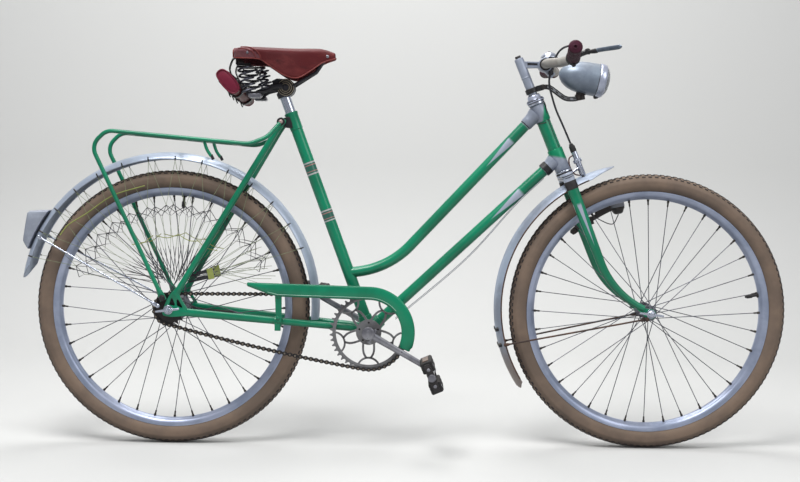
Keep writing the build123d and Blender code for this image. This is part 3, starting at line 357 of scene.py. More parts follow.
def worn_and_shaded_surface():
    """Cloudy colour, small specks, dust on top, painted shade on the faces that look down, and fine grain,
    for every finish.
    """
    white = (1.0, 1.0, 1.0, 1.0)
    inputs = {"Color": white, "Second Color": white, "Speck Color": white, "Dust Color": white, "Scale": 12.0,
              "Mottle": 0.5, "Specks": 0.1, "Dust": 0.1, "Roughness": 0.4, "Grain": 0.3}
    tree, given, result = new_group("worn_and_shaded_surface", inputs, ["Color", "Roughness", "Height", "Specks"])
    where = here(tree)
    cloud = clouds(tree, where, given["Scale"], 4.0)
    share = maths(tree, "MULTIPLY", spread(tree, cloud, 0.36, 0.64), given["Mottle"])
    color = blended(tree, share, given["Color"], given["Second Color"])
    spots = clouds(tree, where, maths(tree, "MULTIPLY", given["Scale"], 11.0), 5.0, 0.7)
    patches = clouds(tree, where, maths(tree, "MULTIPLY", given["Scale"], 1.7), 2.0)
    limit = maths(tree, "SUBTRACT", 0.86, maths(tree, "MULTIPLY", given["Specks"], 0.36))
    worn = maths(tree, "ADD", spots, maths(tree, "MULTIPLY", maths(tree, "SUBTRACT", patches, 0.5), 0.5))
    specks = spread(tree, worn, limit, maths(tree, "ADD", limit, 0.05))
    color = blended(tree, specks, color, given["Speck Color"])
    facing = put(tree, "ShaderNodeSeparateXYZ", {0: put(tree, "ShaderNodeNewGeometry").outputs["Normal"]})
    lying = spread(tree, facing.outputs["Z"], 0.2, 0.95)
    dust = maths(tree, "MULTIPLY", maths(tree, "MULTIPLY", lying, given["Dust"]),
                 spread(tree, patches, 0.25, 0.7))
    color = blended(tree, dust, color, given["Dust Color"])
    # Painted shade: faces that look down are darkened towards a dark blue-grey, as if shaded from the light
    # above.
    painted_underside_shade = spread(tree, facing.outputs["Z"], -0.9, 0.1, 0.62, 0.0)
    color = blended(tree, painted_underside_shade, color, (0.16, 0.17, 0.2, 1.0), "MULTIPLY")
    grain = clouds(tree, where, maths(tree, "MULTIPLY", given["Scale"], 60.0), 2.0)
    rough = maths(tree, "ADD", given["Roughness"],
                  maths(tree, "MULTIPLY", maths(tree, "SUBTRACT", cloud, 0.5), 0.2))
    rough = maths(tree, "ADD", rough, maths(tree, "MULTIPLY", maths(tree, "ADD", specks, dust), 0.3))
    height = maths(tree, "ADD", maths(tree, "MULTIPLY", grain, given["Grain"]),
                   maths(tree, "MULTIPLY", specks, 0.4))
    feed(tree, result["Color"], color)
    feed(tree, result["Roughness"], rough)
    feed(tree, result["Height"], height)
    feed(tree, result["Specks"], specks)
    return tree


def fade_along():
    """A mask that rises from 0 to 1 between two distances from a point, for sprayed borders."""
    inputs = {"Point": (0.0, 0.0, 0.0), "Direction": (1.0, 0.0, 0.0), "Start": 0.0, "End": 0.1}
    tree, given, result = new_group("fade_along", inputs, ["Mask"])
    offset = vectors(tree, "SUBTRACT", here(tree), given["Point"])
    distance = vectors(tree, "DOT_PRODUCT", offset, given["Direction"])
    feed(tree, result["Mask"], spread(tree, distance, given["Start"], given["End"]))
    return tree


def painted_wedge():
    """A mask for a long thin wedge with soft edges, narrow at its far end."""
    inputs = {"Point": (0.0, 0.0, 0.0), "Direction": (1.0, 0.0, 0.0), "Across": (0.0, 0.0, 1.0),
              "Length": 0.1, "Width": 0.01}
    tree, given, result = new_group("painted_wedge", inputs, ["Mask"])
    offset = vectors(tree, "SUBTRACT", here(tree), given["Point"])
    share = maths(tree, "DIVIDE", vectors(tree, "DOT_PRODUCT", offset, given["Direction"]), given["Length"])
    side = maths(tree, "ABSOLUTE", vectors(tree, "DOT_PRODUCT", offset, given["Across"]))
    side = maths(tree, "DIVIDE", side, given["Width"])
    room = maths(tree, "SUBTRACT", maths(tree, "SUBTRACT", 1.0, share), side)
    inside = maths(tree, "MULTIPLY", spread(tree, room, 0.0, 0.18), spread(tree, share, -0.03, 0.05))
    feed(tree, result["Mask"], inside)
    return tree


def leather_grain():
    """Pebbled grain with creases and darker, rubbed places."""
    white = (1.0, 1.0, 1.0, 1.0)
    inputs = {"Color": white, "Rubbed Color": white, "Dark Color": white, "Scale": 260.0, "Rubbed": 0.4}
    tree, given, result = new_group("leather_grain", inputs, ["Color", "Roughness", "Height"])
    where = here(tree)
    pores = put(tree, "ShaderNodeTexVoronoi", {"Vector": where, "Scale": given["Scale"]}).outputs["Distance"]
    stretched = vectors(tree, "MULTIPLY", where, (0.35, 1.0, 1.0))
    creases = clouds(tree, stretched, maths(tree, "MULTIPLY", given["Scale"], 0.12), 5.0, 0.65)
    patches = clouds(tree, stretched, 26.0, 3.0)
    color = blended(tree, maths(tree, "MULTIPLY", spread(tree, patches, 0.4, 0.66), given["Rubbed"]),
                    given["Color"], given["Rubbed Color"])
    color = blended(tree, spread(tree, creases, 0.52, 0.72, 0.0, 0.7), color, given["Dark Color"])
    feed(tree, result["Color"], color)
    feed(tree, result["Roughness"], maths(tree, "ADD", 0.34, maths(tree, "MULTIPLY", creases, 0.3)))
    height = maths(tree, "ADD", maths(tree, "MULTIPLY", pores, 0.5), creases)
    feed(tree, result["Height"], height)
    return tree


surface_group, leather_group = worn_and_shaded_surface(), leather_grain()
fade_group, wedge_group = fade_along(), painted_wedge()


def use(tree, group, **inputs):
    """Place a group with its values; an input's spaces are written as underscores."""
    node = put(tree, "ShaderNodeGroup", node_tree=group)
    for key, value in inputs.items():
        feed(tree, node.inputs[key.replace("_", " ")], value)
    return node.outputs


def coated(name, slot, surface, bump, paint=None, **shader):
    """A material from a surface group's outputs; paint(tree, colour) may lay marks over the colour."""
    material = bpy.data.materials.new(name)
    material.use_nodes = True
    material["slot"] = slot
    tree = material.node_tree
    tree.nodes.clear()
    made = surface(tree)
    color = paint(tree, made["Color"]) if paint else made["Color"]
    lifted = put(tree, "ShaderNodeBump", {"Height": made["Height"], "Strength": 1.0, "Distance": bump})
    inputs = {"Base Color": color, "Roughness": made["Roughness"], "Normal": lifted.outputs[0], **shader}
    shader_node = put(tree, "ShaderNodeBsdfPrincipled", inputs)
    feed(tree, put(tree, "ShaderNodeOutputMaterial").inputs["Surface"], shader_node.outputs[0])
    return material


def worn(name, slot, color, second, speck=(96, 60, 42), dust=(150, 140, 125), scale=12.0, mottle=0.5,
         specks=0.1, dusty=0.1, rough=0.4, grain=0.3, bump=0.0002, paint=None, **shader):
    """A material with its own values for the shared surface group of wear, dust and painted shade."""
    def lay(tree):
        return use(tree, surface_group, Color=linear(*color), Second_Color=linear(*second),
                   Speck_Color=linear(*speck), Dust_Color=linear(*dust), Scale=scale, Mottle=mottle,
                   Specks=specks, Dust=dusty, Roughness=rough, Grain=grain)
    return coated(name, slot, lay, bump, paint, **shader)


soft_shine = {"Specular IOR Level": 0.25}


def hide(name, color, rubbed, dark, scale=260.0, bump=0.0003, **shader):
    """A leather with a leather_grain of its own values."""
    def lay(tree):
        return use(tree, leather_group, Color=linear(*color), Rubbed_Color=linear(*rubbed),
                   Dark_Color=linear(*dark), Scale=scale, Rubbed=0.4)
    return coated(name, "leather", lay, bump, **shader)


def fade(color, place, way, start, end):
    """A sprayed border: the colour covers what lies more than end along way from a place."""
    return color, fade_group, {"Point": place * MM, "Direction": way, "Start": start * MM, "End": end * MM}


def wedge(color, place, way, length, width):
    """A wedge that narrows along way on a tube's side: a sprayed flash, and on the fork also a thin painted
    highlight line.
    """
    across = way.cross(Y).normalized()
    return color, wedge_group, {"Point": place * MM, "Direction": way, "Across": across,
            "Length": length * MM, "Width": width * MM}


def laid_over(*marks):
    """Marks laid over the paint one after another."""
    def lay(tree, under):
        for color, group, inputs in marks:
            under = blended(tree, use(tree, group, **inputs)["Mask"], under, linear(*color))
        return under
    return lay


def striped(place, way, stripes, first=None):
    """Bands square across a tube, as (start, end, colour) along it from a place."""
    def lay(tree, under):
        under = first(tree, under) if first else under
        offset = vectors(tree, "SUBTRACT", here(tree), tuple(place * MM))
        distance = vectors(tree, "DOT_PRODUCT", offset, tuple(way))
        for start, end, color in stripes:
            low = spread(tree, distance, start * MM - 0.0003, start * MM + 0.0003)
            high = spread(tree, distance, end * MM - 0.0003, end * MM + 0.0003)
            under = blended(tree, maths(tree, "SUBTRACT", low, high), under, linear(*color))
        return under
    return lay


silver = (158, 166, 182)
stripe_white, stripe_red = (168, 170, 168), (150, 112, 108)
upper_join = crown_race + steer_up * 151.5
lower_join = crown_race + steer_up * 32
seat_join = bracket + seat_up * 145
upper_run, lower_run = along(180 + 46.8), (bracket - lower_join).normalized()


def upper_corner():
    """Where the upper tube's sloping run would meet its low run."""
    low, gap = along(8.0), seat_join - upper_join
    reach = (gap.x * low.z - gap.z * low.x) / (upper_run.x * low.z - upper_run.z * low.x)
    return upper_join + upper_run * reach


def green(name, paint=None):
    """Deep green enamel, cloudy with age."""
    return worn(name, "green_paint", (0, 128, 92), (0, 102, 72), speck=(14, 50, 36), dust=(20, 140, 108),
                scale=9.0, mottle=0.7, specks=0.06, dusty=0.12, rough=0.34, grain=0.15, bump=0.00012,
                paint=paint, **{"Coat Weight": 0.25, "Coat Roughness": 0.2, "Specular IOR Level": 0.35})


green_plain = green("green_paint")
green_upper = green("green_upper_tube", laid_over(
    fade(silver, upper_join, -upper_run, -52, -46),
    wedge(silver, upper_join + upper_run * 96, upper_run, 92, 10)))
green_lower = green("green_lower_tube",
                    laid_over(wedge(silver, lower_join + lower_run * 118, lower_run, 104, 11)))
green_seat = green("green_seat_tube", striped(bracket, seat_up, [
    (276, 306, (44, 92, 80)), (277, 280, stripe_white), (283, 285, stripe_red), (296, 298.5, stripe_red),
    (301.5, 305, stripe_white), (393, 426, (40, 96, 82)), (394, 397.5, stripe_white), (401, 403, stripe_red),
    (416, 418.5, stripe_red), (421.5, 425, stripe_white)]))
blade_knee = by(front_axle, -90, 46)
fork_line = (blade_knee - crown_middle).normalized()
# On the fork: a silver fade at the crown, a silver paint flash, and a thin pale wedge down the blade that is
# a painted highlight.
green_fork = green("green_fork", laid_over(
    fade(silver, crown_middle, steer_up, -8, -7),
    wedge(silver, crown_middle + fork_line * 64, fork_line, 112, 5.5),
    wedge((196, 200, 206), by(crown_middle, 10, -62), fork_line, 90, 1.4)))


def silver_lug(name, paint=None):
    """Silver paint over the cast sleeves and the stem."""
    return worn(name, "silver_lug", silver, (128, 134, 148), speck=(70, 66, 66), scale=14.0, mottle=0.7,
                specks=0.16, dusty=0.15, rough=0.42, paint=paint, Metallic=0.35)


lug_silver = silver_lug("lug_silver")
lug_green = (0, 132, 92)
upper_lug_paint = silver_lug("upper_lug_silver", laid_over(
    fade(lug_green, head_top, (-steer_back - steer_up * 0.5).normalized(), 12, 18)))
lower_lug_paint = silver_lug("lower_lug_silver", laid_over(
    fade(lug_green, crown_race + steer_up * 32, (steer_up - steer_back * 0.6).normalized(), -3, 5)))
chrome = worn("bright_steel", "bright_steel", (196, 202, 216), (160, 166, 182), speck=(112, 84, 66),
              scale=16.0, mottle=0.5, specks=0.2, dusty=0.05, rough=0.24, Metallic=0.85)
warm_chrome = worn("bar_steel", "bright_steel", (176, 172, 166), (140, 134, 126), speck=(104, 76, 60),
                   scale=18.0, mottle=0.7, specks=0.3, dusty=0.1, rough=0.4, Metallic=0.55)
dark_steel = worn("dark_steel", "dark_steel", (46, 45, 48), (70, 66, 64), speck=(104, 70, 50),
                  dust=(110, 98, 84), scale=24.0, specks=0.3, dusty=0.3, rough=0.5, Metallic=0.4)
rusty_steel = worn("rusty_steel", "dark_steel", (92, 66, 52), (58, 48, 46), speck=(126, 78, 48), scale=40.0,
                   mottle=0.9, specks=0.5, dusty=0.2, rough=0.7, Metallic=0.2)
black_paint = worn("black_paint", "dark_steel", (26, 26, 29), (38, 37, 40), speck=(90, 80, 74), scale=20.0,
                   specks=0.14, dusty=0.25, rough=0.45)
bolt_head = worn("bolt_head", "bright_steel", (186, 160, 156), (150, 130, 128), speck=(96, 70, 60),
                 scale=40.0, specks=0.2, dusty=0.1, rough=0.35, Metallic=0.4)


def pierced(piece, *cutters):
    """Take the cutters' forms out of a piece."""
    for cutter in cutters:
        mesh = bpy.data.meshes.new("cutter")
        mesh.from_pydata([point * MM for point in cutter.points], [], cutter.faces)
        work = bmesh.new()
        work.from_mesh(mesh)
        bmesh.ops.recalc_face_normals(work, faces=work.faces)
        work.to_mesh(mesh)
        work.free()
        tool = bpy.data.objects.new("cutter", mesh)
        bpy.context.scene.collection.objects.link(tool)
        taking = piece.modifiers.new("taking", "BOOLEAN")
        taking.object, taking.operation, taking.solver = tool, "DIFFERENCE", "EXACT"
        others = [m for m in piece.modifiers if m.name != "taking"]
        shown = [m.show_viewport for m in others]
        for modifier in others:
            modifier.show_viewport = False
        bpy.context.view_layer.update()
        cut = bpy.data.meshes.new_from_object(piece.evaluated_get(bpy.context.evaluated_depsgraph_get()))
        piece.modifiers.remove(taking)
        for modifier, was in zip(others, shown):
            modifier.show_viewport = was
        piece.data = cut
        bpy.data.objects.remove(tool)
    return piece


# Frame

def frame_tubes():
    """The four main tubes, with the curved upper one, and the bracket's shell with its sockets."""
    make(Shape().tube([crown_race, head_top], head_tube_radius, 40), "head_tube", green_plain)
    route = rounded([upper_join + upper_run * 12, upper_corner(), seat_join], 205, 24)
    make(Shape().tube(route, tube_radius, 32), "upper_tube", green_upper)
    make(Shape().tube([lower_join + lower_run * 12, bracket], tube_radius, 32), "lower_tube", green_lower)
    profile = [(15, seat_tube_radius), (seat_tube_length, seat_tube_radius), (seat_tube_length, 12.7)]
    seat = Shape().turned(bracket, seat_up, profile, 36)
    make(seat, "seat_tube", green_seat)
    profile = [(0, 18), (0, 19.8), (1.2, 20.5), (68.8, 20.5), (70, 19.8), (70, 18)]
    shell = Shape().turned(bracket - Y * 35, Y, profile, 40)
    for way in (-lower_run, seat_up):
        shell.turned(bracket, way, [(10, 19), (19, 18.6), (26, 16.6), (34, 16.2), (36, 15.6), (36, 12)], 32)
    make(shell, "bottom_bracket_shell", green_plain, bevel=0.4)


def frame_lugs():
    """The sleeves at the head tube with their cast roots; a dark ring at the upper socket's mouth and one
    round the head tube under the upper lug, painted shadow lines; and the black band on the lower tube.
    """
    rows = (("upper_head_lug", upper_join, upper_run, 125.5, head_tube_length - 0.5, upper_lug_paint),
            ("lower_head_lug", lower_join, lower_run, 0.5, 54, lower_lug_paint))
    for name, join, way, low, high, paint in rows:
        collar = [(low, 16), (low, 17.6), (low + 0.8, 18.2), (high - 0.8, 18.2), (high, 17.6), (high, 16)]
        lug = Shape().turned(crown_race, steer_up, collar, 40)
        profile = [(12, 20), (19, 18.4), (25, 16.2), (33, 15.3), (45, 15.1), (46, 14.4), (46, 12.5)]
        lug.turned(join, way, profile, 36)
        make(lug, name, paint)
    # Painted shadow lines: a dark ring at the upper tube's socket mouth and one round the head tube under the
    # upper lug's edge.
    lines = Shape().turned(upper_join, upper_run, [(46, 12.4), (46, 14.0), (48, 13.6), (48, 12.4)], 36)
    edge = []
    for turn in range(-100, 101, 10):
        out = steer_back * cos(radians(turn)) + Y * sin(radians(turn))
        edge.append(crown_race + steer_up * (125 - 0.05 * abs(turn)) + out * 16.6)
    lines.tube(edge, 0.9, 8)
    # The black band round the lower tube by its socket.
    profile = [(30.5, 15), (30.5, 16.2), (31.2, 16.8), (44.8, 16.6), (45.5, 16), (45.5, 12.6)]
    lines.turned(lower_join, lower_run, profile, 36)
    make(lines, "lug_lines", black_paint, body="frame")


def bracket_cups():
    """The fixed cup on the right, and the notched lockring round the other cup."""
    cups = Shape().turned(bracket - Y * 35, -Y, [(0, 10), (0, 19.6), (2.6, 19.2), (3.2, 17.5), (3.2, 10)], 32)
    profile = [(0, 10), (0, 21.5), (3.6, 21.5), (4.2, 20.6), (4.2, 17), (6, 16.2), (6, 10)]
    cups.turned(bracket + Y * 35, Y, profile, 32)
    cups = make(cups, "bracket_cups", dark_steel, body="frame", bevel=0.3)
    notches = []
    for number in range(6):
        out = along(number * 60)
        outline = [(-2.4, -6), (3, -6), (3, 6), (-2.4, 6)]
        notches.append(Shape().slab(bracket + Y * 37 + out * 21.5, out, Y, outline, 4))
    pierced(cups, *notches)


def stays():
    """Chain stays, seat stays and the plates that hold the rear axle."""
    start, foot = by(bracket, -6, 4, 26), by(rear_axle, 32, -5, dropout_y)
    waist_x = rear_axle.x + 325
    share = (waist_x - foot.x) / (start.x - foot.x)
    waist = Vector((waist_x, 37, foot.z + (start.z - foot.z) * share))
    route = rounded([start, waist, foot], 400, 16)
    sizes = [(8.0, 8.0)] * (len(route) - 2) + [(7.6, 8.0), (3.6, 9.5)]
    chain_stay = Shape().tube(route[:-1] + [foot + (route[-2] - foot).normalized() * 12, foot],
                              sizes + [(3.0, 10)], 20)
    make(chain_stay.mirrored(), "chain_stays", green_plain)
    top, foot = stay_top + Y * 23.5, by(rear_axle, 16, 34, dropout_y)
    way = (foot - top).normalized()
    length = (foot - top).length
    places = [(-9, 3.0, 5), (-7, 4.0, 8.5), (4, 4.0, 9), (14, 7.2, 8), (24, 7.5, 7.5),
              (length - 40, 7.2, 7.2), (length - 18, 6, 7.5), (length - 6, 3.2, 9), (length, 3.0, 9)]
    stay = Shape().tube([top + way * s for s, a, b in places], [(a, b) for s, a, b in places], 20)
    make(stay.mirrored(), "seat_stays", green_plain)
    corners = [(-14, -8), (-11, 5), (-6, 18), (2, 33), (8, 41), (16, 44), (24, 40), (33, 22), (42, 8),
               (48, -4), (44, -13), (24, -16), (6, -17), (-6, -15), (-12, -13)]
    plate = Shape().plate(corners, dropout_y - plate_half, dropout_y + plate_half, rear_axle)
    plates = make(plate.mirrored(), "rear_dropouts", green_plain, bevel=0.8)
    slot = Shape().plate([(2, 12), (14, 9), (16, 13), (10, 27), (7, 27)], 40, 80, rear_axle)
    slot.plate([(20, 10), (32, 4), (33, 8), (24, 24), (20, 24)], 40, 80, rear_axle)
    pierced(plates, slot.mirrored())


def seat_cluster():
    """The collar at the seat tube's top, the ears and the long bolt that also holds the carrier."""
    profile = [(-42, 14), (-41, 15.0), (-6, 15.2), (-3, 16.2), (0.5, 16.2), (0.5, 12.8)]
    collar = Shape().turned(seat_top, seat_up, profile, 40)
    make(collar, "seat_lug", green_plain, bevel=0.3)
    ears = Shape()
    for side in both_sides:
        outline = [(-9, -6), (-7, 6), (0, 9), (14, 13), (24, 12), (24, -14), (8, -12), (-4, -10)]
        ears.plate(outline, side * 9, side * 14.5, stay_top)
    make(ears, "seat_lug_ears", black_paint, body="frame", bevel=0.8)
    bolt = Shape().tube([stay_top - Y * 43, stay_top + Y * 43], 4.6, 16)
    heads = Shape()
    for side in both_sides:
        bolt.turned(stay_top + Y * 14 * side, Y * side, [(0, 8.5), (2, 8.5)], 24)
        bolt.turned(stay_top + Y * 40 * side, Y * side, [(0, 9.6), (2.6, 9.6), (2.6, 8)], 24)
        heads.dome(stay_top + Y * 42.6 * side, Y * side, 5.2, 3, 20)
    make(bolt, "stay_bolt", black_paint, body="frame", bevel=0.3)
    make(heads, "stay_bolt_heads", bolt_head, body="frame")


def carrier_z(x):
    """The deck's height x forward of the rear axle: it rises a little to the rear."""
    return ground + 715 + 30 * (190 - x) / 332


def deck(x, drop=0.0, side=0.0):
    """A point on the carrier's deck, or below it by drop."""
    return Vector((rear_axle.x + x, side, carrier_z(x) - drop))


def carrier():
    """The welded tubes with flattened ends, and the bolts that hold them."""
    tubes = Shape()
    for side in both_sides:
        wide = carrier_half_width * side
        route = rounded([by(stay_top, 3, 3, 37 * side), by(stay_top, -30, -37, wide * 0.88),
                         deck(190, -1, wide), deck(-142, 0, wide), deck(-178, 41 - 3.2, wide),
                         by(rear_axle, -17, 37, wide)], [45, 60, 34, 34], 10)
        tubes.tube(route, 5, 16)
        end, way = route[-1], (route[-1] - route[-2]).normalized()
        tubes.tube([end - way * 14, end - way * 6, end + way * 2, end + way * 16],
                   [(5, 5), (2.5, 7), (2.2, 8), (2.2, 8)], 16)
        start, out = route[0], (route[0] - route[1]).normalized()
        tubes.tube([start - out * 14, start - out * 5, start + out * 2, start + out * 5],
                   [(5, 5), (2.4, 7), (2.2, 8.0), (2.0, 6)], 16)
        prong = flowing([deck(x, drop, prong_y * side) for x, drop in ((84, 0), (91, 21), (101, 36))], 6)
        tubes.tube(prong, 3.9, 12)
    for x in (150, 20, -110, 84):
        tubes.tube([deck(x, 0, -carrier_half_width), deck(x, 0, carrier_half_width)], 4, 14)
    make(tubes, "carrier", green_plain)
    ends = Shape()
    for side in both_sides:
        foot = by(rear_axle, -13, 28, 67 * side)
        ends.turned(foot, Y * side, [(0, 7.5), (1.2, 7.5)], 20).hexagon(foot + Y * side, Y * side, 6.5, 5)
        ends.tube([deck(101, 33, prong_y * side), deck(106, 43, prong_y * side)], 3.6, 12)
    make(ends, "carrier_bolts", black_paint, body="frame", bevel=0.3)


def wing_bar(thin=0.7):
    """The outline of a small slotted wing that lies behind a wheel nut."""
    half = [(-20, 3.6), (-8, 4.6), (0, 7), (8, 4.6), (20, 3.6), (28, 3)]
    low, high = [(a, -b * thin) for a, b in half], [(a, b * thin) for a, b in reversed(half)]
    return low + [(29, 0)] + high + [(-28, 2), (-28, -2)]


def rear_axle_ends():
    """The threaded axle with its nuts, washers and slotted wings."""
    axle = Shape().turned(rear_axle - Y * 78, Y, [(0, 4.2), (1, 4.9), (155, 4.9), (156, 4.2)], 20)
    for side in both_sides:
        axle.turned(rear_axle + Y * side * 62.6, Y * side, [(0, 11), (1.6, 11)], 28)
        axle.hexagon(rear_axle + Y * side * 64.2, Y * side, 9.4, 7)
        start = rear_axle + Y * side * 72
        axle.slab(start, along(7), along(97), wing_bar(), 3)
    make(axle, "rear_axle", chrome, bevel=0.4)


frame_tubes()
frame_lugs()
bracket_cups()
stays()
seat_cluster()
carrier()
rear_axle_ends()


# Wheels

tyre_radius, tyre_line, tread_blocks = 22.6, wheel_radius - 23.8, 132
spoke_count, spoke_end = 36, 267.5
tyre_wall = worn("tyre_wall", "tyre_rubber", (122, 103, 88), (98, 84, 74), speck=(70, 60, 54),
                 dust=(150, 134, 112), scale=10.0, mottle=0.8, specks=0.16, dusty=0.2, rough=0.75,
                 grain=0.6)
tyre_tread = worn("tyre_tread", "tyre_rubber", (46, 42, 44), (66, 58, 54), speck=(92, 82, 70),
                  dust=(128, 114, 96), scale=12.0, mottle=0.8, specks=0.2, dusty=0.15, rough=0.85,
                  grain=0.6)
rim_paint = worn("rim_steel", "rim_steel", (166, 174, 196), (130, 140, 162), speck=(86, 76, 74), scale=9.0,
                 mottle=0.8, specks=0.24, dusty=0.1, rough=0.34, Metallic=0.55)
spoke_steel = worn("spoke_steel", "hub_steel", (96, 98, 106), (66, 66, 72), speck=(96, 70, 54), scale=26.0,
                   specks=0.3, dusty=0.0, rough=0.45, Metallic=0.6)
hub_metal = worn("hub_steel", "hub_steel", (128, 130, 138), (88, 88, 94), speck=(92, 70, 54),
                 dust=(96, 84, 70), scale=30.0, mottle=0.9, specks=0.4, dusty=0.4, rough=0.45, Metallic=0.5)
nipple_dark = worn("nipple_dark", "hub_steel", (44, 42, 44), (66, 58, 50), scale=40.0, specks=0.3,
                    rough=0.5, Metallic=0.4)
black_rubber = worn("black_rubber", "tyre_rubber", (26, 25, 27), (40, 38, 38), speck=(70, 64, 58),
                    dust=(90, 82, 72), scale=24.0, specks=0.1, dusty=0.25, rough=0.7, grain=0.5)


def tyre(name, centre):
    """A balloon tyre: plain walls with a moulded line, and a worn tread of small blocks."""
    wall, tread = Shape(), Shape()
    section = []
    for step in range(-17, 18):
        angle = step * 7.6
        grow = 0.7 if abs(step) in (9, 10) else 0.0
        size = tyre_radius + grow
        section.append((size * sin(radians(angle)), tyre_line + size * cos(radians(angle))))
    profile = [(-13.2, 284.5)] + section + [(13.2, 284.5)]
    wall.turned(centre, Y, profile, 144, ring=True)
    rows = [(0, 5.2, 0.0), (-24, 4.6, 0.5), (24, 4.6, 0.5), (-42, 4.2, 0.0), (42, 4.2, 0.0)]
    for tilt, wide, shift in rows:
        for number in range(tread_blocks):
            around = (number + shift) * 360 / tread_blocks
            out, way = along(around), along(around + 90)
            normal = out * cos(radians(tilt)) + Y * sin(radians(tilt))
            side = Y * cos(radians(tilt)) - out * sin(radians(tilt))
            base = centre + out * tyre_line + normal * (tyre_radius - 0.6)
            long = 5.0 if tilt == 0 else 4.4
            low = [base + side * a * wide / 2 + way * b * long for a, b in square]
            high = [p + normal * 1.75 - side * a * 0.5 - way * b * 0.5
                    for p, (a, b) in zip(low, square)]
            tread.skin([low, high])
    make(wall, name, tyre_wall, sharp=60)
    make(tread, name + "_tread", tyre_tread, body=node_body[name])


def rim(name, centre):
    """A rolled steel rim with a bulged floor, curled edges and the spoke wells."""
    half = [(16.0, 286.2), (16.4, 284.6), (15.6, 282.6), (14.6, 279.5), (13.2, 276.4), (10.8, 273.4),
            (8.4, 271.6), (7.0, 270.9), (5.4, 268.8), (3.0, 267.5)]
    section = [(-y, r) for y, r in half] + [(0, 267.1)] + [(y, r) for y, r in reversed(half)]
    section += [(14.2, 286.2), (13.6, 283), (0, 280), (-13.6, 283), (-14.2, 286.2)]
    ring = Shape().turned(centre, Y, section, 144, ring=True)
    make(ring, name, rim_paint, sharp=50)


def laced(name, centre, flange_radius, half):
    """Crossed spokes with bent heads in the flanges, and their nipples."""
    spokes, nipples = Shape(), Shape()
    for number in range(spoke_count):
        side = 1 if number % 2 else -1
        lean = 60 if (number // 2) % 2 else -60
        around = number * 360 / spoke_count
        hole = centre + along(around + lean) * (flange_radius - 4) + Y * side * half
        end = centre + along(around) * spoke_end + Y * side * 3
        outside = Y * side * (2.4 if (number // 2) % 2 else -2.4)
        way = (end - hole - outside).normalized()
        spokes.tube([hole - outside, hole, hole + outside * 0.8 + way * 1.6, hole + outside + way * 6,
                     end - way * 8], 1.0, 6)
        spokes.dome(hole - outside * 0.9, -outside, 2.1, 1.2, 8)
        nipples.turned(end - way * 14, way, [(0, 1.4), (1, 2.0), (9, 2.0), (9.4, 2.9), (15, 2.9)], 8)
    make(spokes, name + "_spokes", spoke_steel, body=node_body[name])
    make(nipples, name + "_nipples", nipple_dark, body=node_body[name])


def valve(name, centre, angle, body):
    """The valve stem with its cap and ring, through the rim."""
    out = along(angle)
    profile = [(0, 3.2), (16, 3.2), (16.6, 4.6), (28, 4.6), (30, 3.4), (33, 2.2), (33.4, 0)]
    stem = Shape().turned(centre + out * 270, -out, profile, 16)
    stem.hexagon(centre + out * 267.6, -out, 6.4, 3)
    make(stem, name, black_rubber, body=body)


def front_hub():
    """A narrow hub between two flanges, the same on both sides."""
    profile = [(-35, 6.2), (-34.4, 9.4), (-33.6, 19), (-31, 19), (-30.4, 12.4), (-27, 11.6), (-16, 8.4),
               (0, 7.8)]
    profile += [(-y, r) for y, r in reversed(profile[:-1])]
    hub = Shape().turned(front_axle, Y, profile + [(35, 5.4), (-35, 5.4)], 48, ring=True)
    hub.turned(front_axle, Y, [(-3.5, 7.8), (-3, 8.8), (3, 8.8), (3.5, 7.8)], 36)
    make(hub, "front_hub", hub_metal, bevel=0.25)
    laced("front_hub", front_axle, 19, 32)
    valve("front_valve", front_axle, 9, "front_wheel")


def rear_hub():
    """The coaster hub: a fat barrel that narrows to the right, with its oil clip and dust rings."""
    profile = [(-33, 17), (-32, 26), (-29.6, 34), (-26.4, 34), (-25, 28), (-22, 25.4), (-14, 24), (14, 24),
               (20, 24.6), (24, 27), (26.4, 34), (29.6, 34), (31, 27), (35, 25.5), (39, 25), (41, 22),
               (42, 15)]
    hub = Shape().turned(rear_axle, Y, profile + [(42, 5.4), (-33, 5.4)], 56, ring=True)
    hub.turned(rear_axle, Y, [(-7, 24), (-7, 25.2), (7, 25.2), (7, 24)], 56)
    make(hub, "rear_hub", hub_metal, bevel=0.3)
    laced("rear_hub", rear_axle, 34, 28)
    valve("rear_valve", rear_axle, 84.5, "rear_wheel")
    ring = Shape().turned(rear_axle, Y, [(42.5, 6), (42.5, 20), (44, 21.5), (50, 21), (52, 12), (55, 9.5),
            (57.2, 9.5), (57.2, 6)], 40, ring=True)
    arm = [(-9, 4), (60, -9), (150, -16), (186, -19), (196, -24), (186, -31), (150, -28), (60, -23),
           (-9, -10)]
    ring.plate(arm, 46.5, 49.5, rear_axle)
    make(ring, "brake_arm", dark_steel, body="frame", bevel=0.4)


# Chain, cranks, pedals and chain guard

chain_black = worn("chain_steel", "chain_steel", (24, 22, 25), (40, 36, 36), speck=(84, 72, 62),
                   dust=(60, 52, 44), scale=60.0, mottle=0.9, specks=0.15, dusty=0.08, rough=0.45,
                   Metallic=0.3)
wheel_steel = worn("crank_steel", "crank_steel", (122, 122, 124), (84, 82, 84), speck=(84, 62, 48),
                   dust=(90, 78, 64), scale=26.0, mottle=0.9, specks=0.5, dusty=0.15, rough=0.42,
                   Metallic=0.5)
crank_chrome = worn("crank_chrome", "crank_steel", (150, 150, 156), (104, 104, 112), speck=(92, 68, 52),
                    scale=20.0, mottle=0.8, specks=0.36, dusty=0.1, rough=0.3, Metallic=0.7)
roller_steel = worn("roller_steel", "chain_steel", (134, 124, 112), (92, 82, 72), speck=(60, 50, 44),
                    scale=60.0, mottle=0.9, specks=0.3, dusty=0.1, rough=0.4, Metallic=0.5)
big, small = [chain_pitch / (2 * sin(pi / teeth)) for teeth in (chainwheel_teeth, sprocket_teeth)]


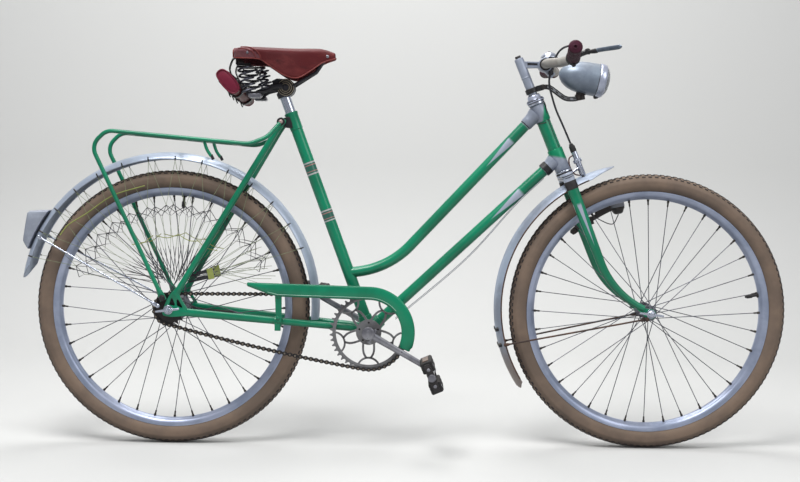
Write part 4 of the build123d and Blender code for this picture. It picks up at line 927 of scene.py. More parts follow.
def chain_pins():
    """Each pin's place round the fixed loop, with where it lies: a run, the chainwheel or the sprocket."""
    gap = bracket - rear_axle
    span, tilt = hypot(gap.x, gap.z), atan2(gap.z, gap.x)
    lean = asin((big - small) / span)
    run = span * cos(lean)
    top, low = tilt + pi / 2 + lean, tilt - pi / 2 - lean
    big_arc, small_arc = big * (top - low), small * (2 * pi - top + low)
    links = 2 * ceil((2 * run + big_arc + small_arc) / chain_pitch / 2)
    slack = links * chain_pitch - 2 * run - big_arc - small_arc
    sag = sqrt(3 * run * slack / 8)
    pins = []
    for number in range(links):
        gone = number * chain_pitch
        if gone < run:
            start = rear_axle + along(degrees(top)) * small
            point, where = start.lerp(bracket + along(degrees(top)) * big, gone / run), "run"
        elif gone < run + big_arc:
            point, where = bracket + along(degrees(top - (gone - run) / big)) * big, "wheel"
        elif gone < 2 * run + slack + big_arc:
            share = (gone - run - big_arc) / (run + slack)
            start, end = bracket + along(degrees(low)) * big, rear_axle + along(degrees(low)) * small
            point, where = start.lerp(end, share) - Z * (sag * 4 * share * (1 - share)), "run"
        else:
            angle = low - (gone - 2 * run - slack - big_arc) / small
            point, where = rear_axle + along(degrees(angle)) * small, "sprocket"
        pins.append((point, where))
    return pins


def first_angle(centre, kind):
    """The angle of the first pin on a wheel, so that its teeth stand between the pins."""
    point = next(point for point, where in chain_pins() if where == kind)
    return atan2(point.z - centre.z, point.x - centre.x)


def chain():
    """Every link: waisted side plates, rollers and riveted pins."""
    plates, pins = Shape(), [point for point, where in chain_pins()]
    for number, point in enumerate(pins):
        after = pins[(number + 1) % len(pins)]
        way = (after - point).normalized()
        up = Vector((-way.z, 0, way.x))
        middle = point.lerp(after, 0.5)
        outline = []
        for end, sign in ((point, -1), (after, 1)):
            for turn in range(-110, 111, 44):
                outline.append(end + (way * sign * cos(radians(turn)) + up * sign * sin(radians(turn))) * 4.7)
            outline.append(middle + up * 1.9 * sign)
        low = 1.9 + (1.2 if number % 2 else 0.0)
        for side in both_sides:
            levels = sorted((side * low, side * (low + 1.05)))
            plates.skin([[Vector((p.x, -chain_line + y, p.z)) for p in outline] for y in levels])
        reach = Y * 4.7
        centre = Vector((point.x, -chain_line, point.z))
        plates.mark = 1
        plates.turned(centre - reach, Y, [(0, 1.8), (0.4, 2.3), (9.0, 2.3), (9.4, 1.8)], 8)
        plates.turned(centre - Y * 1.85, Y, [(0, 3.9), (3.7, 3.9)], 12)
        plates.mark = 0
    make(plates, "chain", chain_black, roller_steel)


def toothed(centre, teeth, radius, first, inner, thick):
    """A ring of teeth with round gaps for the rollers."""
    step = 2 * pi / teeth
    outer = []
    for tooth in range(teeth):
        middle = first + step * (tooth + 0.5)
        for share, reach in ((-0.5, -3.9), (-0.32, -3.2), (-0.2, -0.6), (-0.1, 3.3), (0.1, 3.3), (0.2, -0.6),
                             (0.32, -3.2)):
            angle = middle + share * step
            outer.append((angle, radius + reach))
    rings = []
    for y, kind in ((-thick / 2, outer), (thick / 2, outer), (thick / 2, None), (-thick / 2, None)):
        rows = kind or [(angle, inner) for angle, reach in outer]
        rings.append([centre + Vector((r * cos(a), y - chain_line, r * sin(a))) for a, r in rows])
    return Shape().skin(rings, loop=True)


def chainwheel():
    """The teeth, a rounded rim, and five open units of curved bars round the middle disc."""
    wheel = toothed(bracket, chainwheel_teeth, big, first_angle(bracket, "wheel"), 79, 2.4)
    middle = bracket - Y * chain_line
    profile = [(0, 10), (0, 27), (0.8, 29), (1.0, 30), (3.2, 30), (3.4, 29), (3.4, 10)]
    wheel.turned(middle - Y * 2.2, Y, profile, 60, ring=True)
    profile = [(0, 77.5), (-0.6, 79), (-0.6, 82.5), (0, 84), (3.6, 84), (3.6, 77.5)]
    wheel.turned(middle - Y * 1.9, Y, profile, 120, ring=True)
    for unit in range(5):
        out, aside = along(unit * 72 - 90), along(unit * 72)
        for side in both_sides:
            spots = [middle + along(unit * 72 - 90 + side * turn) * radius
                     for radius, turn in ((27, 28), (40, 19), (50, 13.5), (56, 9), (61.5, 4.5))]
            wheel.bar(flowing(spots, 5), 2.6, 5.0, across=Y)
        arch = [middle + out * (87 - 26.5 * cos(radians(turn))) + aside * 26.5 * sin(radians(turn))
                for turn in range(-60, 61, 10)]
        wheel.bar(arch, 2.6, 4.6, across=Y)
        wheel.mark = 1
        profile = [(-0.6, 2.0), (0, 2.6), (4.6, 2.6), (5.2, 2.0)]
        wheel.turned(middle - Y * 2.4 + along(unit * 72 - 54) * 23, Y, profile, 12)
        wheel.mark = 0
    make(wheel, "chainwheel", wheel_steel, chain_black, bevel=0.35)


def rear_sprocket():
    """The toothed ring with the driver that carries it."""
    plate = toothed(rear_axle, sprocket_teeth, small, first_angle(rear_axle, "sprocket"), 18, 2.4)
    middle = rear_axle - Y * chain_line
    profile = [(-2.4, 6.2), (-2.4, 17), (-1.6, 19), (1.4, 19.4), (3, 21), (8, 20), (13, 17), (13, 6.2)]
    plate.turned(middle, Y, profile, 36, ring=True)
    make(plate, "rear_sprocket", chain_black, bevel=0.3)


def crank_arm(arm, side):
    """A forged arm with a rounded back, its cotter and the eye for the pedal."""
    way = along(crank_lean if side < 0 else 180 + crank_lean)
    start = bracket + Y * crank_plane * side
    spots = [(6, 5.2, 9.2), (20, 5.2, 8.6), (60, 5.0, 7.6), (110, 4.8, 7.0), (148, 4.8, 6.8), (162, 5.2, 8.0)]
    arm.tube([start + way * s for s, a, b in spots], [(a, b) for s, a, b in spots], 24, across=Y)
    arm.turned(start - Y * 7.6, Y, [(0, 12.5), (1.5, 15), (13.7, 15), (15.2, 12.5)], 40)
    eye = start + way * crank_length
    profile = [(0, 6.1), (0, 10), (1.2, 11.2), (10, 11.2), (11.2, 10), (11.2, 6.1)]
    arm.turned(eye - Y * 5.6, Y, profile, 36, ring=True)
    across = way.cross(Y)
    pin = start + way * 2 - Y * 2 * side
    arm.turned(pin + way * 10 - across * 17, across, [(0, 3.2), (33, 4.0), (33.5, 3.4)], 16)
    arm.hexagon(pin + way * 10 - across * 15, -across, 6.2, 4.5)
    return arm


def cranks():
    """Both arms on the axle that runs through the bracket."""
    arms = crank_arm(Shape(), -1)
    crank_arm(arms, 1)
    arms.turned(bracket - Y * 79, Y, [(0, 5), (0.8, 8), (157.2, 8), (158, 5)], 28)
    make(arms, "cranks", crank_chrome, bevel=0.4)


pedal_inner, pedal_width, right_pedal_way, left_pedal_way = 80.0, 96.0, 23 - 90, -8
cover_outer, cover_inner, cover_end, cover_plane = 107.0, 79.0, -24.0, -60.4
pedal_iron = worn("pedal_iron", "dark_steel", (52, 49, 50), (36, 34, 36), speck=(110, 92, 78),
                  dust=(110, 98, 86), scale=34.0, mottle=0.8, specks=0.3, dusty=0.2, rough=0.5,
                  Metallic=0.3)
reflector = worn("reflector_amber", "pedal_rubber", (96, 60, 40), (70, 44, 34), scale=90.0, specks=0.2,
                 dusty=0.3, rough=0.4, **{"Coat Weight": 0.3})


def pedal(name, side):
    """Two ribbed rubber blocks between steel ends, on a barrel with a bright dust cap."""
    eye = hinge[name + "_spin"]
    width = pedal_width
    low = min(side * pedal_inner, side * (pedal_inner + width))
    start = Vector((eye.x, low, eye.z))
    way = along(right_pedal_way if side < 0 else left_pedal_way)
    up = way.cross(Y)
    rubber, metal, ends, glow = Shape(), Shape(), Shape(), Shape()
    for sign in (-1, 1):
        centre = way * sign * 25
        outline = [(-11, -13), (-12.4, -11), (-12.4, 11), (-11, 13.4), (-6, 13.8), (6, 13.8), (11, 13.4),
                   (12.4, 11), (12.4, -11), (11, -13.4), (6, -13.8), (-6, -13.8)]
        rings = [[start + centre + Y * y + way * a * s + up * b * s for a, b in outline]
                 for y, s in ((5, 0.96), (7, 1.0), (width - 7, 1.0), (width - 5, 0.96))]
        rubber.skin(rings)
        for row in (-8, 0, 8):
            for number in range(11):
                place = start + centre + Y * (12 + number * 7.2) + way * row
                for face in (-1, 1):
                    foot = [place + way * a * 3 + Y * b * 2.3 + up * face * 13.6 for a, b in square]
                    head = [c + up * face * 0.9 - way * a * 0.5 - Y * b * 0.5
                            for c, (a, b) in zip(foot, square)]
                    rubber.skin([foot, head])
        for y in (11, width - 11):
            metal.turned(start + centre + Y * y, up, [(-14.4, 3.6), (14.4, 3.6)], 12)
        metal.dome(start + centre * 0.8 + Y * (width / 2 + side * width / 2), Y * side, 4.2, 2.6, 14)
        outer = start + way * sign * 37.4
        glow.skin([[outer + way * sign * d + Y * y + up * z
                    for y, z in ((22, -7), (74, -7), (74, 7), (22, 7))] for d in (0, 1.4)])
    for y in (1, width - 5):
        outline = [(-33, -5), (-30, -7), (-20, -7.4), (-9, -8.5), (9, -8.5), (20, -7.4), (30, -7), (33, -5),
                   (33, 5), (30, 7), (20, 7.4), (9, 8.5), (-9, 8.5), (-20, 7.4), (-30, 7), (-33, 5)]
        ends.skin([[start + Y * (y + d) + way * a + up * b for a, b in outline] for d in (0, 3.4)])
    profile = [(0, 8.6), (6, 9), (12, 7.4), (84, 7.4), (90, 9), (97, 9.2), (99, 8), (99.5, 4), (99.6, 0)]
    barrel_start = Vector((eye.x, side * pedal_inner, eye.z))
    metal.turned(barrel_start, Y * side, [(-16.4, 5.9), (-5.5, 5.9), (-5, 7.2), (-1, 7.2), (0, 5.9)]
                 + profile, 28)
    make(rubber, name, black_rubber, bevel=0.5)
    make(metal, name + "_steel", crank_chrome, body=name, bevel=0.3)
    make(ends, name + "_ends", pedal_iron, body=name, bevel=0.3)
    make(glow, name + "_reflectors", reflector, body=name, bevel=0.3)


# A pale green line: a painted highlight along the chain guard's pressed groove.
groove_highlight_paint = worn("painted_groove_highlight", "green_paint", (150, 196, 176), (100, 170, 140), scale=30.0, specks=0.2,
                dusty=0.0, rough=0.4)


def chain_guard():
    """A pressed plate that tapers behind and curls round the chainwheel, with a rolled edge."""
    outer, inner, outside = cover_outer, cover_inner, cover_plane
    tip, centre_z = rear_axle.x + 186, bracket.z
    upper, lower = [], []
    for number in range(13):
        share = number / 12
        x = tip + (bracket.x - tip) * share
        upper.append(Vector((x, 0, centre_z + outer)))
        low = min(1.0, (x - tip) / 64)
        lower.append(Vector((x, 0, centre_z + outer - 6 - (outer - inner - 6) * low)))
        for line in (upper, lower):
            line[-1].z += 7.5 * (1 - share)
    for number in range(1, 39):
        angle = 90 + (cover_end - 90) * number / 38
        pinch = 1.0 if number < 37 else 0.8
        half = (outer - inner) / 2 * pinch
        upper.append(bracket + along(angle) * ((outer + inner) / 2 + half))
        lower.append(bracket + along(angle) * ((outer + inner) / 2 - half))
    guard, rows = Shape(), ((0.0, 2.6), (0.015, 1.0), (0.06, 0.2), (0.14, 0.0), (0.3, -0.8), (0.5, -1.0))
    rows += tuple((1 - share, y) for share, y in reversed(rows[:-1]))
    strips = [[Vector((low.x + (high.x - low.x) * share, outside + y, low.z + (high.z - low.z) * share))
               for share, y in rows] for high, low in zip(upper, lower)]
    guard.skin(strips, strip=True)
    for line in (upper, lower):
        guard.tube([Vector((p.x, outside + 3.4, p.z)) for p in line], 1.7, 10)
    for high, low in ((upper[0], lower[0]), (upper[-1], lower[-1])):
        guard.tube([Vector((p.x, outside + 3.2, p.z)) for p in (high, low)], 1.7, 10)
    # A thin pale line just above the lower edge: a painted highlight on the pressed groove.
    guard.mark = 1
    guard.tube([Vector((p.x, outside - 0.2, p.z)).lerp(Vector((q.x, outside - 0.2, q.z)), 0.13)
                for p, q in list(zip(lower, upper))[2:30]], 0.75, 6)
    make(guard, "chain_guard", green_plain, groove_highlight_paint)
    x = rear_axle.x + 257
    place = Vector((x, -57, centre_z))
    outline = [(-4, 22), (8, 22), (9, 34), (9, inner + 10), (-7, inner + 10), (-5, 34)]
    strap = Shape().plate(outline, -57, -55, place)
    strap.plate([(-8, 2), (6, 2), (6, 20), (-8, 20)], -55, -49, place)
    strap.dome(by(place, 0, 32), -Y, 4.5, 2).dome(by(place, 0, inner + 4), -Y, 4.5, 2)
    make(strap, "chain_guard_bracket", green_plain, bevel=0.4)
    bolts = Shape()
    band = Vector((x, -45.5, rear_axle.z - 5 - (rear_axle.z - 5 - bracket.z - 4) * 0.5))
    for start, end in ((-9, -4.5), (-3.8, 3.8), (4.5, 9)):
        profile = [(0, 9.6), (0.6, 10.6), (end - start - 0.6, 10.6), (end - start, 9.6)]
        bolts.turned(band + X * start, X, profile, 24)
    make(bolts, "chain_guard_band", green_plain, body="frame", bevel=0.3)


for title, spot in (("rear", rear_axle), ("front", front_axle)):
    tyre(title + "_tyre", spot)
    rim(title + "_rim", spot)
front_hub()
rear_hub()
chain()
chainwheel()
rear_sprocket()
cranks()
pedal("right_pedal", -1)
pedal("left_pedal", 1)
chain_guard()


# Mudguards, tail lamp and net

guard_paint = worn("mudguard_steel", "mudguard_steel", (176, 187, 204), (146, 156, 174),
                   speck=(104, 84, 74), dust=(150, 148, 144), scale=8.0, mottle=0.6, specks=0.14,
                   dusty=0.05, rough=0.32, Metallic=0.35)
rust = (112, 70, 46)
front_guard_centre, rear_guard_centre = by(front_axle, -20.5, 8.5), by(rear_axle, -8, 11)
rusted_front = worn("front_mudguard_steel", "mudguard_steel", (164, 176, 194), (128, 134, 148), speck=rust,
                    dust=(140, 136, 130), scale=12.0, mottle=0.8, specks=0.32, dusty=0.05, rough=0.42,
                    paint=laid_over(fade((122, 112, 108), by(front_axle, -330, -20), Vector((0.35, 0, -0.94)),
        0, 130)), Metallic=0.25)
housing_paint = worn("tail_lamp_paint", "lamp_grey", (170, 177, 190), (136, 142, 156), speck=(84, 70, 62),
                     scale=20.0, mottle=0.7, specks=0.2, dusty=0.2, rough=0.45, Metallic=0.3)
red_glass = worn("tail_lens_red", "lamp_glass", (150, 22, 20), (110, 12, 14), scale=60.0, specks=0.02,
                 dusty=0.1, rough=0.15, **{"Coat Weight": 0.8})
net_pale = worn("net_pale", "black_sheath", (128, 138, 104), (96, 104, 84), scale=80.0, specks=0.1,
                dusty=0.1, rough=0.8)
net_dark = worn("net_dark", "black_sheath", (40, 40, 48), (62, 60, 58), scale=80.0, specks=0.1, dusty=0.1,
                rough=0.8)
net_green = worn("net_green", "black_sheath", (150, 156, 84), (120, 134, 70), scale=60.0, specks=0.1,
                 dusty=0.1, rough=0.8)
peg_angles = [86.9 + 10.65 * step for step in range(-6, 8)]


def guard_rows():
    """The mudguard's section as (outward, sideways) points from one rolled edge to the other."""
    bow = (guard_half_width ** 2 + guard_rise ** 2) / (2 * guard_rise)
    reach = asin(guard_half_width / bow)
    rows = []
    for step in range(-10, 11):
        angle = reach * step / 10
        lift = 0.9 if abs(step) <= 1 else 0.0
        rows.append((bow * cos(angle) - bow + lift, (bow - 0.4) * sin(angle)))
    return rows


def mudguard(name, centre, radius, first, last, material, torn=None, nose=0.0):
    """A thin curved strip round the wheel with a bead along each edge, and a torn tail if one is given.

    The nose is how many degrees after its middle the strip's edges start.
    """
    guard, rows = Shape(), guard_rows()
    count = ceil((last - first) / 1.2)
    rings, beads = [], ([], [])
    for number in range(count + 1):
        angle = first + (last - first) * number / count
        line = []
        for outward, sideways in rows:
            turn = angle
            if torn:
                turn = min(angle, torn(sideways))
            turn = max(turn, first + nose * (abs(sideways) / guard_half_width) ** 2.6)
            if not torn:
                turn = min(turn, last - 6.0 * (abs(sideways) / guard_half_width) ** 2.6)
            line.append(centre + along(turn) * (radius + outward) + Y * sideways)
        rings.append(line)
        for side in (0, -1):
            end = torn(rows[side][1]) - 0.5 if torn else last - 6.0
            if first + nose <= angle <= end:
                beads[side].append(line[side])
    inner = [[p - (p - centre - Y * (p.y - centre.y)).normalized() * 1.0 for p in ring] for ring in rings]
    guard.skin([ring + under[::-1] for ring, under in zip(rings, inner)])
    guard.mark = 1
    for bead in beads:
        guard.tube(bead, 1.7, 8)
    return make(guard, name, *material)


def torn_tail(sideways):
    """The angle at which the front mudguard's metal ends, at this distance from its middle."""
    share = (sideways + guard_half_width) / (2 * guard_half_width)
    ragged = 1.1 * noise.noise(Vector((sideways * 0.35, 3.7, 0.0)))
    bite, corner = 9.5 * max(0.0, share - 0.22) ** 1.3, 2.4 * max(0.0, 0.16 - share) * 6
    return front_guard_last - bite - corner + ragged * 0.7


def mudguard_stay(shape, top, foot, side):
    """A wire with flattened, bolted ends."""
    way = (foot - top).normalized()
    shape.tube([top, top + way * 8, top + way * 14, foot - way * 16, foot - way * 9, foot],
               [(1.0, 4.5), (1.1, 4.0), 2.1, 2.1, (1.1, 4.5), (1.0, 5.0)], 10, across=Y)
    shape.dome(top + Y * side * 0.5 + way * 3, Y * side, 4.2, 2.4, 12)


def guard_edge(centre, radius, angle, side):
    """Where a stay is bolted to a mudguard's edge."""
    return centre + along(angle) * (radius - 11) + Y * side * 31


def mudguards():
    """Both guards with their stays, bolts and the hooks that hold the net."""
    mudguard("rear_mudguard", rear_guard_centre, rear_guard_radius, rear_guard_first, rear_guard_last,
             (guard_paint, guard_paint))
    mudguard("front_mudguard", front_guard_centre, front_guard_radius, front_guard_first, front_guard_last,
             (rusted_front, rusty_steel), torn_tail, 11.0)
    rear, front = Shape(), Shape()
    for side in both_sides:
        rear_end = guard_edge(rear_guard_centre, rear_guard_radius, rear_stay_angle, side)
        front_end = guard_edge(front_guard_centre, front_guard_radius, front_stay_angle, side)
        mudguard_stay(rear, rear_end, by(rear_axle, -26, 10, 62 * side), side)
        mudguard_stay(front, front_end, by(front_axle, -12, -12, 55.5 * side), side)
        front.dome(by(front_axle, -10, -12, 56.5 * side), Y * side, 5.5, 4)
        rear.dome(by(rear_axle, -24, 9, 63.5 * side), Y * side, 5.5, 4)
    make(rear, "rear_mudguard_stays", chrome)
    make(front, "front_mudguard_stays", rusty_steel)
    bolts = Shape()
    for angle, side in ((front_stay_angle, -1), (front_stay_angle, 1), (189, -1), (189, 1)):
        place = front_guard_centre + along(angle) * 336 + Y * side * 17
        bolts.hexagon(place, along(angle), 5, 8.5)
    make(bolts, "front_guard_bolts", black_paint, body="steering", bevel=0.3)
    hooks = Shape()
    for angle in peg_angles:
        for side in both_sides:
            edge, out = rear_guard_centre + along(angle) * 345 + Y * side * 30, along(angle)
            hooks.tube([edge + out * 5, edge + Y * side * 1.0, edge - out * 6 + Y * side * 1.2],
                       [1.3, 1.9, 1.4], 8)
    make(hooks, "net_hooks", black_paint, body="frame")


def tail_lamp():
    """The housing that sits on the rear mudguard: flat on top, upright behind, pointed below."""
    outline = [(-287, 229), (-300, 230), (-326, 229.4), (-340, 228), (-345.5, 224), (-347.6, 214),
               (-352, 190), (-356, 164), (-356.4, 156), (-352, 147), (-345, 137), (-341.5, 139),
               (-336, 147), (-328, 160), (-316, 182), (-303, 206), (-292, 222)]
    body = Shape()
    rings = []
    for y, inset in ((-24, 5.0), (-23, 2.6), (-20, 0.9), (-15, 0), (15, 0), (20, 0.9), (23, 2.6), (24, 5.0)):
        middle = Vector((-326, 0, 190))
        ring = []
        for x, z in outline:
            gap = middle - Vector((x, 0, z))
            ring.append(Vector((rear_axle.x + x, y, rear_axle.z + z)) + gap.normalized() * inset)
        rings.append(ring)
    body.skin(rings)
    lamp = make(body, "tail_lamp", housing_paint, sharp=60)
    inside = Shape().turned(rear_guard_centre - Y * 60, Y, [(0, 359.4), (120, 359.4)], 120)
    pierced(lamp, inside)
    knob = Shape().turned(by(rear_axle, -344, 210), -X, [(0, 9), (3, 9), (4, 8), (5, 8)], 24)
    make(knob, "tail_lens_ring", chrome, body="frame")
    lens = Shape().turned(by(rear_axle, -348.5, 210), -X, [(0, 7.6), (1.5, 6.8), (3, 4.5), (3.6, 0)], 24)
    make(lens, "tail_lens", red_glass, body="frame")


def dress_net():
    """The string net on each side of the rear wheel: a zigzag ring, strings to the hub, clasp and cord."""
    pale, dark, cord, clasp = Shape(), Shape(), Shape(), Shape()
    for side in both_sides:
        def spot(radius, angle, y):
            return rear_axle + along(angle) * radius + Y * side * y

        pegs = [rear_guard_centre + along(angle) * 339 + Y * side * 31.6 for angle in peg_angles]
        knots = [peg_angles[0] + 5.325 * number for number in range(27)]
        ring = [spot(236 + (9 if number % 2 else -7), angle, 37) for number, angle in enumerate(knots)]
        for number, peg in enumerate(pegs):
            for knot in (2 * number - 1, 2 * number + 1):
                if 0 <= knot < len(ring):
                    pale.tube([peg, ring[knot]], 0.55, 5)
        for number, (a, b) in enumerate(zip(ring, ring[1:])):
            dark.tube([a, b], 0.85, 5)
            out = (a - rear_axle).normalized()
            low = a.lerp(b, 0.5) - out * 17
            dark.tube([a, low, b], 0.7, 5)
            hub = by(rear_axle, 45 * cos(radians(knots[number])), 62 + number % 3 * 5, side * 46)
            waist = low.lerp(hub, 0.5)
            pale.tube([low, waist], 0.5, 5)
            dark.tube([waist, hub], 0.85, 5)
        cord.tube(flowing([by(rear_axle, x, z, side * 35) for x, z in
                           ((-262, 172), (-242, 196), (-198, 224), (-136, 266), (-61, 290))], 6), 1.5, 6)
        for angle in (112, 92, 74, 60):
            cord.tube(flowing([spot(176, angle + 9, 40), spot(168, angle, 40), spot(178, angle - 9, 40)],
                              5), 1.0, 5)
        place = by(rear_axle, 96, 84, side * 42)
        way = (by(rear_axle, 44, 72) - by(rear_axle, 96, 84)).normalized()
        clasp.bar([place - way * 7, place + way * 7], 4, 26, across=Y)
        for shift in (-8, 6):
            dark.bar([place + Z * shift, place + Z * shift + way * 52], 2, 5, across=Y)
        for angle in (38, 32, 26, 20, 14):
            pale.tube([place - way * 6, spot(214, angle, 39), spot(250, angle - 3, 37)], 0.5, 5)
    make(pale, "net_pale_strings", net_pale, body="frame")
    make(dark, "net_dark_strings", net_dark, body="frame")
    make(cord, "net_cord", net_green, body="frame")
    make(clasp, "net_clasp", net_green, body="frame", bevel=0.4)


mudguards()
dress_net()
tail_lamp()


# Saddle and bag

saddle_hide = hide("leather", (82, 20, 24), (122, 52, 50), (38, 11, 14), bump=0.00035, **soft_shine)
rear_hide = hide("leather_rear", (104, 58, 64), (130, 84, 84), (66, 32, 38), bump=0.00035, **soft_shine)
edge_hide = hide("leather_edge", (112, 46, 44), (140, 72, 66), (62, 22, 24), 300.0, bump=0.0003, **soft_shine)
bag_end_hide = hide("bag_end_leather", (104, 26, 48), (128, 48, 62), (58, 14, 25), 220.0, bump=0.0003,
                    **soft_shine)
bag_hide = hide("bag_leather", (70, 18, 20), (104, 40, 38), (36, 10, 12), 220.0, bump=0.0003)
strap_black = hide("strap_leather", (30, 26, 26), (50, 42, 40), (16, 14, 14), 240.0, bump=0.0002)
saddle_black = worn("saddle_iron", "dark_steel", (30, 29, 34), (46, 45, 54), speck=(122, 110, 100),
                    dust=(84, 78, 74), scale=40.0, specks=0.26, dusty=0.25, rough=0.42, Metallic=0.35)
# Dark spring wire whose pale specks and pale cloudy patches are painted glints of light on the coils.
spring_iron_painted_glints = worn("spring_iron_painted_glints", "dark_steel", (30, 30, 38), (110, 112, 126), speck=(150, 150, 156),
                   scale=60.0, mottle=0.8, specks=0.25, dusty=0.1, rough=0.3, Metallic=0.6)
# A pale iron for the raised rings on the clamp drums: partly worn bare steel, partly a painted highlight on
# the ring ridges.
ring_iron_highlight = worn("worn_ring_iron_painted_highlight", "dark_steel", (160, 148, 128), (118, 106, 92), scale=50.0, specks=0.2,
              dusty=0.2, rough=0.5, Metallic=0.3)
# Columns: forward of the seat tube's top, half width, crown, edge and skirt heights above it
saddle_rows = [(-127, 58, 149.0, 138, 124), (-117, 80, 150.5, 140, 121), (-85, 90, 151.5, 141, 119.5),
               (-63, 82, 151.5, 141, 118), (-45, 74, 151.5, 140, 107), (-12, 50, 151.5, 140, 86),
               (18, 36, 151.5, 140, 80), (48, 27, 152.0, 141, 97), (76, 20, 151.0, 141, 117),
               (104, 12, 142.0, 136, 127)]


def hide_section(row):
    """One smooth line across the hide from skirt to skirt."""
    x, half, crown, edge, skirt = row
    left = []
    for share in (0.0, 0.12, 0.3, 0.55, 0.8, 1.0):
        left.append((half * (0.95 + 0.05 * share), skirt + (edge - 3 - skirt) * share))
    for turn in (18, 36, 54, 72, 90):
        a = radians(turn)
        left.append((half * cos(a) ** 0.85 if turn < 90 else 0.0, edge - 3 + (crown - edge + 3) * sin(a)))
    return [by(seat_top, x, z, y) for y, z in left] + [by(seat_top, x, z, -y) for y, z in reversed(left[:-1])]


def on_hide(x, z, side, out=0.4):
    """The point of the hide's near or far face at this distance forward and height."""
    line = hide_section(eased(saddle_rows, [x])[0])[:11]
    low, high = next(((p, q) for p, q in zip(line, line[1:]) if q.z >= seat_top.z + z), (line[-2], line[-1]))
    share = max(0.0, min(1.0, (seat_top.z + z - low.z) / (high.z - low.z)))
    point = low.lerp(high, share)
    return Vector((point.x, side * (point.y + out), point.z + out * share))


def saddle_leather():
    """The stretched hide with its deep flaps, rolled edge, rear strip and rivets."""
    places = [-127, -125, -121, -116, -108] + list(range(-98, 97, 7)) + [99, 102, 104]
    rows = eased(saddle_rows, places)
    rings = [hide_section(row) for row in rows]
    tip = by(seat_top, 106.5, 132, 0)
    last = rings[-1]
    rings.append([point.lerp(tip, 0.45) + X * 1.2 for point in last])
    top = Shape().skin(rings, strip=True)
    for index, corners in enumerate(top.faces):
        middle = sum((top.points[corner] for corner in corners), Vector()) / len(corners) - seat_top
        behind = middle.x + 62 + max(0.0, middle.z - 118) ** 2 * 0.05
        top.marks[index] = 1 if behind < 0 and middle.z < 147 and abs(middle.y) > 40 else 0
    make(top, "saddle_leather", saddle_hide, rear_hide, thick=3.4, smooth=1, sharp=70)
    rolled = Shape()
    for index in (0, -1):
        line = [ring[index] for ring in rings]
        rolled.tube(line, 1.5, 10)
    back = [Vector((p.x - 0.3, p.y, p.z)) for p in rings[0]]
    rolled.tube(back, 1.8, 10)
    for side in both_sides:
        for line, thick in ((outer_seam, 1.5), (inner_seam, 1.0)):
            rolled.tube(flowing([on_hide(x, z, side) for x, z in line], 4), thick, 8)
    make(rolled, "saddle_edge", edge_hide, body="frame", sharp=70)
    rivets = Shape()
    for y in (-44, -22, 22, 44):
        rivets.dome(by(seat_top, -127.5, 141, y), -X, 4.6, 2, 16)
    for side in both_sides:
        rivets.dome(on_hide(-90, 132, side, 0), Y * side, 3.0, 1.4, 16)
        rivets.dome(on_hide(88, 132, side, 0), Y * side + X * 0.3, 3.8, 1.6, 16)
    make(rivets, "saddle_rivets", crank_chrome, body="frame")


spring_foot, spring_head, spring_y = by(seat_top, -93, 46), by(seat_top, -104, 108), 44
clamp_centre = by(seat_top, -10.5, 58.6)
# The seams on the flap's side, as (forward, up) points
outer_seam = ((-110, 148), (-94, 146.4), (-82.6, 143), (-73, 138.5), (-66.5, 132.5), (-62, 125),
              (-60.5, 118.5))
inner_seam = ((-112, 142), (-97, 140.6), (-86, 137.6), (-78, 133), (-73, 126), (-71, 120.5))


def saddle_irons():
    """The rails, the cantle plate with its upright strip, the crossbar and the bright foot plates."""
    foot, centre = spring_foot, clamp_centre
    rails = Shape()
    nose = by(seat_top, 88, 137)
    for side in both_sides:
        route = [nose + Y * side * 5, by(seat_top, 60, 96, side * 8), by(centre, 16, 4, side * 17),
                 by(centre, -30, -6, side * 17), by(foot, 1, -5, side * spring_y)]
        rails.tube(rounded(route, [20, 30, 60], 8), 3.5, 12)
    low = by(foot, 0, -5.4)
    rails.tube([low - Y * 58, low + Y * 58], 5, 14)
    rails.tube([nose - Y * 7, nose + Y * 7], 5, 14)
    rear = seat_top.x - 127 + 4.3
    floor = spring_head.z + 0.4
    strip = [(rear, floor), (rear + 32, floor), (rear + 32, floor + 3), (rear + 3, floor + 3),
             (rear + 3, floor + 20), (rear, floor + 20)]
    rails.plate(strip, -52, 52)
    make(rails, "saddle_frame", saddle_black, bevel=0.5)
    plates = Shape()
    for side in both_sides:
        middle = by(foot, 15, -8, side * spring_y)
        outline = [(-15, -4), (-12, -6.5), (12, -6.5), (16, -3), (14, 3), (-14, 3)]
        plates.plate(outline, side * 36, side * 58.5, middle)
        plates.hexagon(by(foot, 0, -2, side * spring_y), Z, 6, 6)
    make(plates, "saddle_foot_plates", crank_chrome, body="frame", bevel=0.8)


def coil(shape, start, end, radius, turns, wire, taper=0.0):
    """A round wire wound between two places, its end turns lying flat."""
    way = (end - start).normalized()
    out = way.cross(Y).normalized()
    side = way.cross(out)
    count = int(turns * 14)
    route = []
    for step in range(count + 1):
        share = step / count
        angle = 2 * pi * turns * share
        rise = share - sin(2 * pi * share) * 0.03
        wide = radius * (1 - taper * share)
        route.append(start.lerp(end, rise) + out * wide * cos(angle) + side * wide * sin(angle))
    return shape.tube(route, wire, 8, across=way)


def saddle_springs():
    """The two big springs, and the pair of lighter ones in front of them."""
    springs, small_ones = Shape(), Shape()
    for side in both_sides:
        aside = Y * side * spring_y
        coil(springs, spring_foot + aside, spring_head + aside, 16, 5, 2.6)
        coil(small_ones, by(seat_top, -58, 54, side * 24), by(seat_top, -70, 106, side * 30), 13, 4, 2.4, 0.2)
    make(springs, "saddle_springs", spring_iron_painted_glints)
    make(small_ones, "saddle_inner_springs", spring_iron_painted_glints, body="frame")


